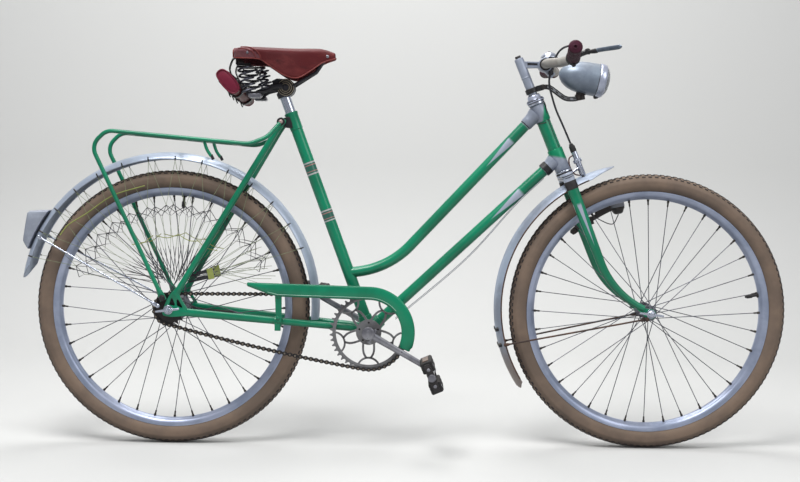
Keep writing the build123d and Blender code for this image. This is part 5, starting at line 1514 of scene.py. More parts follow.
def saddle_clamp():
    """The ratchet clamp: ringed drum faces, a bolt across, and the jaw round the post."""
    centre, post_top = clamp_centre, seat_top + seat_up * 52
    clamp = Shape()
    for side in both_sides:
        profile = [(0, 0), (0, 21), (17, 21), (18.5, 19.5), (18.5, 17), (17.6, 16), (20, 15), (20.6, 12.5),
                   (19.8, 11.5), (22, 10.5), (22.4, 8), (22.4, 0)]
        clamp.turned(centre, Y * side, profile, 40)
        clamp.hexagon(centre + Y * side * 22, Y * side, 8, 6)
        clamp.turned(centre + Y * side * 28, Y * side, [(0, 4), (4, 4), (4.4, 3)], 12)
    for number in range(20):
        for side in both_sides:
            place = centre + along(number * 18) * 18.6 + Y * side * 18
            clamp.slab(place, along(number * 18), Y, [(-2.4, -1), (2.2, -1), (2.2, 1.6), (-2.4, 1.6)], 2.2)
    jaw = [(-34, 16), (-22, 22), (-6, 21), (12, 14), (22, 2), (18, -8), (4, -18), (-6, -16), (-20, -4),
           (-30, 6)]
    clamp.plate(jaw, -10, 10, centre)
    clamp.turned(post_top - seat_up * 12, seat_up, [(0, 12.7), (0, 16.0), (2, 17), (12, 17), (15, 14),
            (16, 12.7)], 36)
    arm = [by(centre, -6, 4), by(centre, -30, 2), by(centre, -62, -14)]
    for side in both_sides:
        clamp.tube([p + Y * side * 24 for p in arm], [(3, 7), (3, 6.5), (3, 8)], 14, across=Y)
        clamp.turned(by(centre, -62, -16, side * 20), Y * side, [(0, 10), (6, 10), (8, 8)], 24)
    make(clamp, "saddle_clamp", saddle_black, bevel=0.5)
    # The drums' rings are pale: worn ridges and a painted highlight.
    rings = Shape()
    for side in both_sides:
        for radius, out in ((18.4, 18.8), (13.6, 20.9), (9.2, 22.7)):
            rings.turned(centre + Y * side * out, Y * side,
                         [(-0.6, radius - 1.1), (0.5, radius - 0.5), (0.5, radius + 0.5),
                          (-0.6, radius + 1.1)], 36, ring=True)
    make(rings, "saddle_clamp_rings", ring_iron_highlight, body="frame")
    post = Shape().turned(seat_top - seat_up * 30, seat_up, [(0, seat_post_radius), (82, seat_post_radius)],
                          36)
    make(post, "seat_post", chrome)


def bag():
    """A stuffed roll bag that hangs a little askew, with piped ends, straps and buckles."""
    way = Vector((0.656, 0, -0.755))
    up = Vector((0.755, 0, 0.656))

    def ring(y, size, bulge=0.0, count=40, far=0.0):
        share = (y + 75) / 150
        middle = by(seat_top, -137 + 8 * share, 67 - 14 * share)
        long, deep = 32.5 + 4.5 * share, 15.0 + 2.0 * share
        points = []
        for step in range(count):
            a = 2 * pi * step / count
            c, s = cos(a), sin(a)
            x = (long * size + far) * abs(c) ** 0.7 * (1 if c > 0 else -1)
            z = (deep * size + far) * abs(s) ** 0.75 * (1 if s > 0 else -1)
            sag = 1.2 * noise.noise(Vector((x * 0.05, y * 0.03, z * 0.08)))
            points.append(middle + way * (x + sag) + up * (z + sag) + Y * (y + bulge))
        return points

    body = Shape()
    rows = [(-76.5, 0.95), (-75, 0.985), (-70, 1.0), (-50, 0.975), (-25, 0.985), (0, 0.99), (25, 0.985),
            (50, 0.975), (70, 1.0), (75, 0.985), (76.5, 0.95)]
    body.skin([ring(y, size) for y, size in rows])
    bag_body = make(body, "saddle_bag", bag_hide, smooth=1, sharp=70)
    ends, piping = Shape(), Shape()
    for side in both_sides:
        ends.skin([ring(side * 75.5, size * 0.93, side * 2.4 * (1 - size ** 3))
                   for size in (1.0, 0.8, 0.55, 0.3, 0.08)])
        loop = ring(side * 76, 0.965)
        piping.tube(loop, 1.7, 8, across=Y, loop=True)
    make(ends, "bag_ends", bag_end_hide, body="frame", sharp=70)
    make(piping, "bag_piping", bag_end_hide, body="frame", sharp=70)
    straps, buckles = Shape(), Shape()
    for y in (-42, 42):
        straps.bar(ring(y, 1.0, far=1.4), 16, 2.0, across=Y, loop=True)
        start = ring(y, 1.0, far=1.6)[20]
        for a, b in ((-9, -7), (-9, 7)):
            buckles.tube([start + Y * a + up * b, start - Y * a + up * b], 1.1, 8)
        for a in (-9, 9):
            buckles.tube([start + Y * a - up * 7, start + Y * a + up * 7], 1.1, 8)
        top = ring(y, 1.0)[12]
        straps.bar(flowing([top, by(seat_top, -138, 100, y), by(seat_top, -131, 120, y),
                            by(seat_top, -122, 124, y)], 6), 14, 2.2, across=Y)
    for y in (-66, -30, 10, 56):
        low = ring(y, 1.0, far=2.0)[36]
        straps.bar([low - way * 46 - up * 4, low - way * 16 - up * 3, low - way * 2 - up * 2], 9, 3.4,
                   across=Y)
        straps.bar([low - way * 18 - up * 2, low - way * 8 - up * 6, low - way * 1 - up * 8], 5, 2.4,
                   across=Y)
    make(straps, "bag_straps", strap_black, body="frame", bevel=0.4, sharp=60)
    make(buckles, "bag_buckles", crank_chrome, body="frame")


saddle_leather()
saddle_irons()
saddle_springs()
saddle_clamp()
bag()


# Fork, headset and handlebar

lamp_paint = worn("lamp_grey", "lamp_grey", (140, 152, 166), (112, 122, 138), speck=(112, 84, 70),
                  dust=(140, 130, 118), scale=18.0, mottle=0.8, specks=0.24, dusty=0.2, rough=0.36,
                  Metallic=0.35)
lamp_rim_steel = worn("lamp_rim", "bright_steel", (190, 196, 214), (164, 170, 190), speck=(110, 84, 70),
                      scale=30.0, specks=0.12, dusty=0.05, rough=0.3, Metallic=0.6)
grip_rubber = worn("grip_rubber", "grip_rubber", (66, 16, 40), (48, 15, 28), speck=(96, 74, 68),
                   dust=(110, 92, 82), scale=50.0, mottle=0.8, specks=0.12, dusty=0.15, rough=0.55,
                   grain=0.5, **soft_shine)
cable_black = worn("black_sheath", "black_sheath", (30, 30, 38), (44, 44, 54), speck=(90, 84, 80),
                   dust=(90, 86, 80), scale=60.0, specks=0.1, dusty=0.2, rough=0.45)
dynamo_paint = worn("dynamo_grey", "lamp_grey", (150, 152, 158), (116, 118, 126), speck=(90, 70, 58),
                    scale=40.0, mottle=0.8, specks=0.3, dusty=0.2, rough=0.4, Metallic=0.35)
mirror = worn("reflector_silver", "bright_steel", (220, 222, 224), (200, 202, 206), scale=40.0, specks=0.02,
              dusty=0.0, rough=0.12, Metallic=1.0)
bulb_glass = worn("bulb_glass", "lamp_glass", (236, 228, 200), (226, 214, 180), scale=60.0, specks=0.0,
                  dusty=0.0, rough=0.1, **{"Coat Weight": 0.8})
lever_steel = worn("lever_steel", "bright_steel", (134, 146, 160), (92, 102, 116), speck=(60, 50, 46),
                   scale=30.0, mottle=0.9, specks=0.35, dusty=0.1, rough=0.3, Metallic=0.6)
red_wire = worn("red_wire", "black_sheath", (78, 38, 34), (58, 30, 28), scale=80.0, specks=0.1, dusty=0.2,
                rough=0.5)
near_black_line = worn("seam_black", "dark_steel", (22, 22, 26), (30, 30, 34), scale=60.0, specks=0.02,
                       dusty=0.1, rough=0.5)
rusty_black = worn("rusty_black", "dark_steel", (44, 36, 32), (28, 25, 26), speck=(96, 70, 50), scale=60.0,
                   mottle=0.9, specks=0.3, dusty=0.2, rough=0.55)
strap_steel = worn("strap_steel", "bright_steel", (156, 160, 166), (110, 110, 112), speck=(84, 62, 48),
                   scale=40.0, mottle=0.9, specks=0.4, dusty=0.1, rough=0.4, Metallic=0.5)


def clear_glass(name):
    """The lamp's ribbed glass, a little milky with dust."""
    material = bpy.data.materials.new(name)
    material.use_nodes = True
    material["slot"] = "lamp_glass"
    tree = material.node_tree
    tree.nodes.clear()
    made = use(tree, surface_group, Color=linear(224, 228, 232), Second_Color=linear(206, 212, 220),
               Speck_Color=linear(150, 140, 128), Dust_Color=linear(190, 186, 178), Scale=40.0, Mottle=0.4,
               Specks=0.12, Dust=0.3, Roughness=0.1, Grain=0.1)
    ribs = put(tree, "ShaderNodeTexWave", {"Vector": here(tree), "Scale": 90.0},
               bands_direction="Y").outputs["Fac"]
    lifted = put(tree, "ShaderNodeBump", {"Height": ribs, "Strength": 1.0, "Distance": 0.0006})
    shader = put(tree, "ShaderNodeBsdfPrincipled",
                 {"Base Color": made["Color"], "Roughness": made["Roughness"], "Normal": lifted.outputs[0],
                  "Transmission Weight": 0.75, "IOR": 1.45})
    feed(tree, put(tree, "ShaderNodeOutputMaterial").inputs["Surface"], shader.outputs[0])
    return material


lamp_glass = clear_glass("lamp_glass")
pale_wire = worn("pale_wire", "black_sheath", (120, 126, 136), (90, 94, 104), scale=60.0, specks=0.1,
                 dusty=0.1, rough=0.5)

def blade_line(side):
    """The top and the knee of a blade's middle line."""
    return crown_middle + Y * side * 42 + steer_up * 2, blade_knee + Y * side * (front_dropout_y + 1)


def blade(shape, side):
    """One oval blade, tapered round its raked end into the flat plate that holds the axle."""
    top, knee = blade_line(side)
    foot = by(front_axle, -16, 12, side * front_dropout_y)
    route = rounded([top, knee, foot], 200, 14)
    route = route[:1] + [route[0].lerp(route[1], share) for share in (0.25, 0.5, 0.75)] + route[1:]
    total = sum((b - a).length for a, b in zip(route, route[1:]))
    gone, sizes = 0.0, []
    for index, point in enumerate(route):
        gone += (point - route[max(index - 1, 0)]).length
        share = gone / total
        sizes.append((9.5 - 3.0 * share, 14.0 - 6.5 * share))
    sizes[-1] = (3.4, 8.5)
    shape.tube(route, sizes, 24, across=Y)
    outline = [(-34, 25), (-26, 22), (-16, 15), (-6, 11.5), (4, 11.5), (10, 7), (12, 0), (10, -7), (4, -11.5),
               (-6, -11), (-14, -6), (-24, 4), (-34, 12)]
    middle = side * front_dropout_y
    return shape.plate(outline, middle - 2.5, middle + 2.5, front_axle)


def fork():
    """Two blades under a flat crown, with the crown's lines, lower nut and dark sockets."""
    fork = Shape()
    for side in both_sides:
        blade(fork, side)
    bridge = []
    for height, size in ((-3, 0.93), (-1.5, 0.99), (0, 1.0), (9, 1.0), (10.5, 0.98), (12, 0.9)):
        ring = []
        for step in range(48):
            a = 2 * pi * step / 48
            side = 36 * (1 if cos(a) > 0 else -1)
            ring.append(crown_middle + steer_up * height + Y * (side + 15.5 * size * cos(a))
                        + steer_back * 14.6 * size * sin(a))
        bridge.append(ring)
    fork.skin(bridge)
    lines = Shape()
    for level in (1.6, 6.4):
        loop = [point + steer_up * level + (point - crown_middle).normalized() * 0.1 for point in bridge[2]]
        lines.tube(loop, 0.9, 6, across=steer_up, loop=True)
    make(lines, "crown_lines", near_black_line, body="steering")
    fork.turned(crown_middle, steer_up, [(8, 20.5), (9.5, 19.6), (11, 18.8), (13, 18.4), (13, 12)], 40)
    make(fork, "fork", green_fork, bevel=0.5)
    cap = Shape().turned(crown_middle, steer_up, [(11.5, 19.4), (12.5, 20.0), (13.5, 19.4), (13.5, 12)], 40)
    cap.turned(crown_middle - steer_up * 12, -steer_up, [(-8, 6), (7, 6), (7, 9.5), (9, 9.5)], 20)
    cap.hexagon(crown_middle - steer_up * 21, -steer_up, 8.5, 6)
    for side in both_sides:
        top, knee = blade_line(side)
        down = (knee - top).normalized()
        cap.tube([top + down * s for s in (9, 10, 27, 30)],
                 [(8, 12), (10.4, 14.9), (10.3, 14.4), (9.6, 13.6)], 28, across=Y)
    make(cap, "crown_trim", dark_steel, body="steering", bevel=0.3)


def front_axle_ends():
    """The axle with its cones, washers, nuts, slotted wings and round caps."""
    axle = Shape().turned(front_axle - Y * 66, Y, [(0, 4.2), (1, 4.9), (131, 4.9), (132, 4.2)], 20)
    for side in both_sides:
        profile = [(0, 5), (0, 8.5), (11, 8.5), (12.4, 7.5), (12.4, 5)]
        axle.turned(front_axle + Y * side * 35.5, Y * side, profile, 24)
        axle.turned(front_axle + Y * side * 53, Y * side, [(0, 10.5), (1.5, 10.5)], 28)
        axle.hexagon(front_axle + Y * side * 54.5, Y * side, 9, 6)
        axle.slab(front_axle + Y * side * 61.6, along(-7), along(83), wing_bar(), 2.8)
        axle.dome(front_axle + Y * side * 62.5, Y * side, 7.5, 3.2)
    make(axle, "front_axle", chrome, bevel=0.4)


def headset():
    """The pressed cups on the frame, and the race, washer and tapered locknut that turn."""
    profile = [(0, 13.6), (0, 17), (0.6, 19.4), (1.6, 20), (4.6, 20), (5, 19), (5, 13.6)]
    cups = Shape().turned(crown_race, -steer_up, profile, 44, ring=True)
    profile = [(0, 13.6), (0, 17), (0.8, 19), (2, 20), (6.6, 20), (7, 19), (7, 13.6)]
    cups.turned(head_top, steer_up, profile, 44, ring=True)
    make(cups, "headset_cups", chrome, bevel=0.2)
    base = head_top + steer_up * 7.4
    profile = [(0, 12.8), (0, 19), (1, 20.4), (4.4, 20.8), (5.8, 20), (6.1, 18.8), (7, 17.5), (8.6, 16.6),
               (14, 15.6), (16, 15), (17, 14), (17, 12.8)]
    nuts = Shape().turned(base, steer_up, profile, 44, ring=True)
    nuts.turned(base, steer_up, [(6.0, 18.6), (6.3, 20.6), (7.2, 20.6), (7.5, 18)], 44)
    ridge = [(-1, -1.8), (1, -1.8), (1, 1.8), (-1, 1.8)]
    nuts.ridged(base + steer_up * 3, steer_up, steer_back, Y, 20, 20.4, ridge, 3)
    make(nuts, "headset_nuts", lamp_rim_steel, bevel=0.2)
    profile = [(5.4, 13), (5.4, 18), (6.4, 19.6), (8.6, 19.6), (9, 18), (9, 13)]
    low = Shape().turned(crown_race, -steer_up, profile, 44, ring=True)
    make(low, "crown_race_ring", dark_steel, body="steering", bevel=0.2)
    lines = Shape()
    for height, radius in ((7.2, 20.3), (12.2, 21.0), (14.6, 19.4)):
        profile = [(-0.7, radius - 2), (-0.7, radius), (0.7, radius), (0.7, radius - 2)]
        lines.turned(head_top + steer_up * height, steer_up, profile, 40, ring=True)
    profile = [(-0.8, 11), (-0.8, 13.4), (0.8, 13.4), (0.8, 11)]
    lines.turned(head_top + steer_up * 24.6, steer_up, profile, 36, ring=True)
    make(lines, "headset_lines", near_black_line, body="steering")


def stem():
    """The quill with its ring line, the extension with sunk sides, and the pinched bar clamp."""
    quill_base, quill_top = head_top + steer_up * 24.1, head_top + steer_up * 118
    start = quill_top - steer_up * 16 - X * 6
    top, low = start.z + 7.5, start.z - 7.5
    profile = [(0, 10.4), (0.4, 11), (44, 11), (44.3, 11.6), (46.5, 11.6), (46.8, 11), (91, 11),
               (93.2, 10.2), (93.9, 8.5)]
    metal = Shape().turned(quill_base, steer_up, profile, 36)
    outline = [(start.x, low), (start.x, top), (start.x + 8, top + 0.6), (clamp_point.x - 8, top - 0.6),
               (clamp_point.x, top), (clamp_point.x, low), (clamp_point.x - 8, low + 0.6)]
    metal.plate(outline, -7.5, 7.5)
    profile = [(0, 12), (0, 15.4), (1.4, 16.5), (30.6, 16.5), (32, 15.4), (32, 12)]
    metal.turned(clamp_point - Y * 16, Y, profile, 44)
    pinch = [by(clamp_point, 4, -12), by(clamp_point, 12, -20), by(clamp_point, 20, -26)]
    metal.bar(pinch, 18, 13, across=Y)
    piece = make(metal, "stem", lug_silver, bevel=0.9)
    recess = Shape()
    for side in both_sides:
        hollow = [(start.x + 20, low + 3.2), (start.x + 20, top - 3.2), (clamp_point.x - 18, top - 4),
                  (clamp_point.x - 18, low + 4)]
        recess.plate(hollow, side * 4.6, side * 20)
    pierced(piece, recess)
    dark = Shape().hexagon(quill_top - steer_up * 0.5, steer_up, 7, 6.5)
    # A dark plate in the upper part of the sunk sides: painted shadow under the extension's top flange.
    dark.plate([(start.x + 21, low + 7), (start.x + 21, top - 3.4), (clamp_point.x - 18, top - 4.2),
                (clamp_point.x - 18, low + 7)], -4.9, 4.9)
    for side in both_sides:
        profile = [(-0.5, 11), (-0.5, 14.4), (0.5, 14.4), (0.5, 11)]
        dark.turned(clamp_point + Y * side * 16, Y * side, profile, 40, ring=True)
    nut = by(clamp_point, 13, -19)
    dark.hexagon(nut - Y * 9, -Y, 6.8, 5.5).hexagon(nut + Y * 9, Y, 6.8, 4)
    make(dark, "stem_bolts", dark_steel, body="steering", bevel=0.3)


def bar_points():
    """The bar's right half, from the grip inward."""
    return [by(clamp_point, x, z, -bar_half_width * share) for x, z, share in
            ((33, 9.5, 0.985), (44, -1, 0.568), (28, -3, 0.341), (0, 0, 0.152))]


bar_end, bar_inner = bar_points()[:2]
grip_way = (bar_inner - bar_end).normalized()


def handlebar():
    """The swept bar, and the ribbed grips with their end caps."""
    right = bar_points()
    route = rounded(right + [flip(p) for p in reversed(right)], [60, 40, 40, 40, 40, 60], 10)
    make(Shape().tube(route, bar_radius, 28), "handlebar", warm_chrome)
    profile = [(-8, 0), (-8, 11.5), (-7, 14), (-5, 15.2), (-2, 15.4), (0, 14.6)]
    for ring in range(22):
        start = 2 + ring * 4
        profile += [(start, 14.0), (start + 0.8, 14.7), (start + 2.4, 14.7), (start + 3.2, 14.0)]
    profile += [(91, 14.4), (93, 14.6), (94, 13.6), (94, 11.1)]
    grips = Shape().turned(bar_end, grip_way, profile, 32)
    grips.turned(bar_end, -grip_way, [(8.0, 0), (8.0, 3.0), (8.4, 3.4), (8.6, 5.2), (8.0, 6.0)], 24)
    make(grips.mirrored(), "grips", grip_rubber, sharp=50)


def brake_lever():
    """The split clamp, its ribbed body, the ringed pivot and the tapered blade."""
    inner = bar_end + grip_way * 94.3
    seat = inner + grip_way * 9
    pivot = by(seat, 30, 12, -12)
    profile = [(0, 11), (0, 14.4), (1, 15.4), (17, 15.4), (18, 14.4), (18, 11)]
    body = Shape().turned(inner, grip_way, profile, 32, ring=True)
    for rib in range(4):
        profile = [(0, 15.2), (0.6, 16.2), (2, 16.2), (2.6, 15.2)]
        body.turned(inner + grip_way * (1.6 + rib * 4.2), grip_way, profile, 32)
    body.tube([by(seat, 9, 4, -4), by(seat, 18, 8, -8), pivot], [(5, 6.5), (4.6, 6), (4, 5.5)], 16)
    body.tube([seat - Z * 12, seat - Z * 20 + X * 3], [(8, 5), (8, 4)], 12)
    body.hexagon(seat - Z * 17 + X * 2 - grip_way * 8, -grip_way, 4.6, 4)
    way = Vector((57, -74, 0)).normalized()
    body.turned(pivot - Z * 6, Z, [(0, 4.8), (1, 5.8), (11, 5.8), (12, 4.8)], 20)
    body.dome(pivot + Z * 6, Z, 3.4, 1.6, 12)
    body.tube([pivot + way * s - Z * 0.6 for s in (-4, 6, 22, 30)],
              [(3.6, 3.0), (3.8, 4.2), (3.2, 5.6), (2.4, 5.0)], 14, across=way.cross(Z))
    spots = [(24, 2.2, 4.0), (30, 2.6, 5.0), (55, 2.4, 5.0), (78, 2.4, 5.2), (90, 2.6, 5.2), (95, 2.4, 4.0),
             (97.5, 1.6, 2.0)]
    route = [pivot + way * s + Z * (s * 0.02) for s, a, b in spots]
    blade = Shape().tube(route, [(a, b) for s, a, b in spots], 20, across=way.cross(Z))
    make(blade, "brake_lever_blade", lever_steel, body="steering")
    make(body, "brake_lever", black_paint, bevel=0.3)


plunger_foot = crown_race - steer_up * 28 - steer_back * 40


def plunger_brake():
    """The tube that pushes a rubber block on the tyre, with its knurled ring and its wire."""
    low = plunger_foot
    profile = [(-6, 4), (-2, 4), (0, 6.6), (1, 7), (59, 7), (60, 6.6), (60, 5)]
    tube = Shape().turned(low, steer_up, profile, 28)
    tube.turned(low, steer_up, [(31, 7), (32, 9.6), (40, 9.6), (41, 7)], 32)
    ridge = [(-1, -3.6), (0.8, -3.6), (0.8, 3.6), (-1, 3.6)]
    tube.ridged(low + steer_up * 36, steer_up, steer_back, Y, 18, 9.4, ridge, 1.6)
    tube.tube([low + steer_up * 20, low + steer_up * 16 + steer_back * 20,
               crown_race - steer_up * 14 + steer_back * 2], [(6, 4), (5, 3.4), (6, 4)], 14)
    make(tube, "plunger_brake", chrome, bevel=0.25)
    profile = [(-1, 6.8), (0, 7.4), (12, 7.2), (16, 5.2), (19.6, 4), (19.6, 0)]
    cap = Shape().turned(low + steer_up * 60, steer_up, profile, 24)
    block = low - steer_up * 6
    cap.tube([block - Y * 13, block + Y * 13], [(7, 4), (7, 4)], 16)
    make(cap, "plunger_cap", black_rubber, body="steering", bevel=0.4)
    loop = [low + steer_up * a + steer_back * b for a, b in ((52, 7), (48, 17), (30, 22), (10, 18), (2, 8))]
    make(Shape().tube(flowing([p - Y * 4 for p in loop], 8), 1.7, 8), "plunger_wire", red_wire,
         body="steering")


def brake_cable():
    """The cable from the lever to the plunger brake, through (forward, up, side) points from the head."""
    rows = ((74, 115, -142), (61, 125, -120), (45, 122, -85), (36, 108, -54), (31, 84, -32), (25, 62, -27),
            (26, 43, -24), (32, 21, -20), (44, -13, -14), (62, -50, -7))
    end = plunger_foot + steer_up * 80.3
    route = flowing([by(head_top, x, z, y) for x, z, y in rows] + [end], 8)
    make(Shape().tube(route, 2.4, 12), "brake_cable", cable_black)


# Lamp, dynamo and bell

lamp_tail, lamp_front = by(head_top, 50.2, 75.8), by(head_top, 157.0, 56.5)
lamp_way = (lamp_front - lamp_tail).normalized()
lamp_length = (lamp_front - lamp_tail).length


def headlamp():
    """A bullet shell with its seam, rolled rim, reflector, bulb and domed glass."""
    half, front = 38.5, lamp_length
    shares = [(0.0, 0.0), (0.003, 0.06), (0.012, 0.15), (0.03, 0.27), (0.06, 0.4), (0.1, 0.53),
              (0.16, 0.66), (0.24, 0.79), (0.34, 0.885), (0.46, 0.95), (0.6, 0.985), (0.74, 0.998),
              (0.83, 1.0), (0.845, 1.0), (0.845, 0.97)]
    shell = Shape().turned(lamp_tail, lamp_way, [(lamp_length * a, half * b) for a, b in shares], 56)
    make(shell, "headlamp", lamp_paint)
    rim = [(front * 0.85, 36), (front * 0.85, 38.4), (front * 0.865, 39.7), (front * 0.9, 39.9),
           (front * 0.96, 39.3), (front - 0.4, 37.4), (front + 1, 35.6), (front + 0.6, 34.4),
           (front - 2, 34.6)]
    ring = Shape().turned(lamp_tail, lamp_way, rim, 56, ring=True)
    make(ring, "headlamp_rim", lamp_rim_steel, body="steering")
    bowl = [(front - 3, 34.6), (front - 12, 31), (front - 22, 25), (front - 30, 17), (front - 34, 9),
            (front - 35, 5)]
    bowl += [(a - 1.2, b) for a, b in reversed(bowl)]
    make(Shape().turned(lamp_tail, lamp_way, bowl, 48, ring=True), "headlamp_reflector", mirror,
         body="steering")
    bulb = [(front - 34, 4.6), (front - 26, 4.6), (front - 25, 3.6), (front - 21, 5.4), (front - 17, 6.2),
            (front - 13, 5.2), (front - 11, 2.6), (front - 10.6, 0)]
    make(Shape().turned(lamp_tail, lamp_way, bulb, 24), "headlamp_bulb", bulb_glass, body="steering")
    glass = [(-2, 34.4), (0.6, 34.4), (4, 31.5), (7.4, 26.5), (10, 19), (11.6, 10), (12.2, 0)]
    dome = Shape().turned(lamp_front, lamp_way, glass, 48)
    make(dome, "headlamp_glass", lamp_glass)
    trim, fin = Shape(), Y.cross(lamp_way)
    fin = fin if fin.z > 0 else -fin
    under = -fin
    for share, size in ((0.5, 4.0), (0.62, 6.0)):
        trim.dome(lamp_tail + lamp_way * lamp_length * share + under * 37.2, under, size, 3.4, 16)
    latch = lamp_tail + lamp_way * lamp_length * 0.9 + under * 38.5
    trim.slab(latch, lamp_way, under, [(-7, -1), (5, -1), (4, 3), (-2, 5.5), (-6, 4)], 8)
    trim.dome(lamp_tail + lamp_way * lamp_length * 0.3 + fin * 31.4, fin, 3.0, 2.0, 12)
    make(trim, "headlamp_trim", black_paint, body="steering", bevel=0.3)
    seam = [(lamp_length * 0.84, 37), (lamp_length * 0.84, 38.9), (lamp_length * 0.852, 38.9),
            (lamp_length * 0.852, 37)]
    make(Shape().turned(lamp_tail, lamp_way, seam, 56, ring=True), "headlamp_seam", near_black_line,
         body="steering")


def lamp_bracket():
    """The strap clamp on the stem and the slotted double strap that curves under the lamp."""
    centre = head_top + steer_up * 36
    profile = [(0, 11.2), (0, 13.2), (0.8, 14), (11.2, 14), (12, 13.2), (12, 11.2)]
    collar = Shape().turned(centre - steer_up * 6, steer_up, profile, 40, ring=True)
    collar.turned(centre - Y * 13 - X * 3, -Y, [(0, 4), (1.6, 4), (1.6, 2.6)], 16)
    collar.bar([centre - steer_back * 12, by(head_top, 14, 42.5)], 16, 13, across=Y)
    route = flowing([by(head_top, x, z) for x, z in
                     ((11, 43), (28.6, 41.8), (45.9, 30), (66.7, 16.5), (87.5, 15.2), (103, 19))], 6)
    collar.bar(route, 9, 11, across=Y)
    make(collar, "lamp_bracket", black_paint, bevel=0.5)
    arm = Shape().bar(route[4:-4], 9.8, 6.0, across=Y)
    make(arm, "lamp_bracket_strap", strap_steel, body="steering", bevel=0.4)
    holes = Shape()
    for index in (7, 11, 15, 19, 23):
        holes.bar(route[index:index + 3], 10.6, 2.6, across=Y)
    bolt = by(head_top, 14, 42.3)
    holes.hexagon(bolt - Y * 7, -Y, 6.4, 5).hexagon(bolt + Y * 7, Y, 6.4, 4)
    foot = by(head_top, 99, 19)
    holes.bar([foot - X * 8 - Z * 1, foot + X * 12 + Z * 3], 15, 15, across=Y)
    holes.turned(foot, Z, [(6, 8), (12, 7.5)], 20)
    for x in (-2, 8):
        holes.hexagon(foot + X * x - Y * 7, -Y, 4.6, 3.6)
    make(holes, "lamp_bracket_bolts", rusty_black, body="steering", bevel=0.3)


def dynamo():
    """The bottle with its ridged roller, base cap, spring bracket and clamp on the left blade."""
    top, foot = by(front_axle, -69, 285, 66), by(front_axle, -59, 234, 61)
    way = (foot - top).normalized()
    length = (foot - top).length
    profile = [(-3, 8), (-1, 12), (1, 15.6), (4, 17.6), (8, 18), (length - 14, 18), (length - 12, 17.4)]
    bottle = Shape().turned(top, way, profile, 40)
    bottle.mark = 1
    bottle.turned(top, way, [(22, 17.8), (22.2, 18.4), (23.8, 18.4), (24, 17.8)], 40)
    make(bottle, "dynamo", dynamo_paint, near_black_line, bevel=0.3)
    profile = [(length - 12, 17.2), (length - 8, 16.6), (length - 5, 14), (length, 12), (length + 3, 9),
               (length + 4, 5)]
    dark = Shape().turned(top, way, profile, 36)
    roller = [(-4, 7), (-4.4, 10.4), (-13, 10.4), (-14, 9), (-14, 0)]
    dark.turned(top, way, roller, 28)
    side = way.cross(Y).normalized()
    ridge = [(-0.8, -4), (0.9, -4), (0.9, 4), (-0.8, 4)]
    dark.ridged(top - way * 9, way, side, way.cross(side), 20, 10.3, ridge, 1.4)
    leg, knee = by(front_axle, -150, 203, 49), by(front_axle, -104, 230, 55)
    dark.bar([by(front_axle, -118, 236, 54), by(front_axle, -84, 246, 56)], 9, 20, across=Y)
    tab = by(front_axle, -169, 187, 50)
    dark.bar([by(leg, 0, 0, 2), tab], 7, 15, across=Y)
    dark.hexagon(tab + Y * 3, Y, 7.5, 5).hexagon(tab - Y * 3, -Y, 7.5, 5)
    dark.tube(rounded([foot - way * 18 - Y * 2, knee, leg], 30, 8), [(4.0, 6.0)] * 11, 14, across=Y)
    dark.hexagon(knee + Y * 3, Y, 6.5, 5)
    grip = by(front_axle, -136, 211, front_dropout_y - 3)
    dark.bar([grip - fork_line * 9, grip + fork_line * 9], 24, 26, across=Y)
    dark.hexagon(grip + Y * 12 + X * 6, Y, 5.5, 4.5).hexagon(grip + Y * 12 - X * 6 + Z * 4, Y, 5.5, 4.5)
    make(dark, "dynamo_bracket", rusty_black, body="steering", bevel=0.4)
    wire = [foot + way * 2, foot + way * 10 - X * 4, by(front_axle, -72, 206, 60),
            by(front_axle, -96, 212, 58), by(front_axle, -128, 232, 58), by(front_axle, -150, 262, 57),
            by(crown_middle, 12, -20, 56)]
    make(Shape().tube(flowing(wire, 8), 1.2, 8), "dynamo_wire", cable_black, body="steering")


def bell():
    """The domed bell on its clamp, with a thumb lever."""
    foot = by(clamp_point, 18, 20, 64)
    profile = [(0.6, 20.4), (0, 20.8), (0.4, 21.2), (3.4, 20.2), (7, 17.8), (10.6, 13.6), (13, 8.5),
               (14.2, 4), (14.6, 0)]
    dome = Shape().turned(foot + Z * 4, Z, profile, 48)
    make(dome, "bell", chrome)
    base = Shape().turned(foot + Z * 1.4, Z, [(0, 16), (0, 18.6), (2.6, 18.6), (2.6, 16)], 36)
    base.turned(foot + Z * 18, Z, [(0, 3.4), (1.6, 2.8), (2, 0)], 12)
    base.tube([foot + Z * 2, foot - Z * 16], 5, 14)
    base.slab(foot + X * 18 + Z * 1.5, X, Y, [(-2, -4), (12, -3), (14, 0), (12, 3), (-2, 4)], 2.4)
    way = (bar_points()[3] - bar_points()[2]).normalized()
    way = Vector((way.x, -way.y, way.z))
    near = by(clamp_point, 15.5, -1.6, 62)
    base.turned(near - way * 6, way, [(0, 11.1), (0, 12.8), (12, 12.8), (12, 11.1)], 28, ring=True)
    make(base, "bell_base", dark_steel, body="steering", bevel=0.3)


def loose_wires():
    """A thin black wire before the head tube, and two light ones that hang under the lower tube."""
    dark = [by(head_top, x, z, -12) for x, z in ((2, 18), (17, 4), (24, -30), (36, -62), (50, -96),
            (62, -118))]
    make(Shape().tube(flowing(dark, 8), 1.3, 8), "head_wire", cable_black, body="frame")
    pale = Shape()
    for shift in (-1.6, 1.6):
        spots = [lower_join + lower_run * 46 - Z * 16, by(lower_join, -100, -112), by(bracket, 228, 172),
                 by(bracket, 62, 28)]
        pale.tube(flowing([p + Z * shift + Y * (shift - 8) for p in spots], 10), 0.8, 6)
    make(pale, "lower_wires", pale_wire, body="frame")


fork()
loose_wires()
front_axle_ends()
headset()
stem()
handlebar()
brake_lever()
plunger_brake()
brake_cable()
headlamp()
lamp_bracket()
dynamo()
bell()


# Camera and studio, in metres, radians and the photograph's pixels

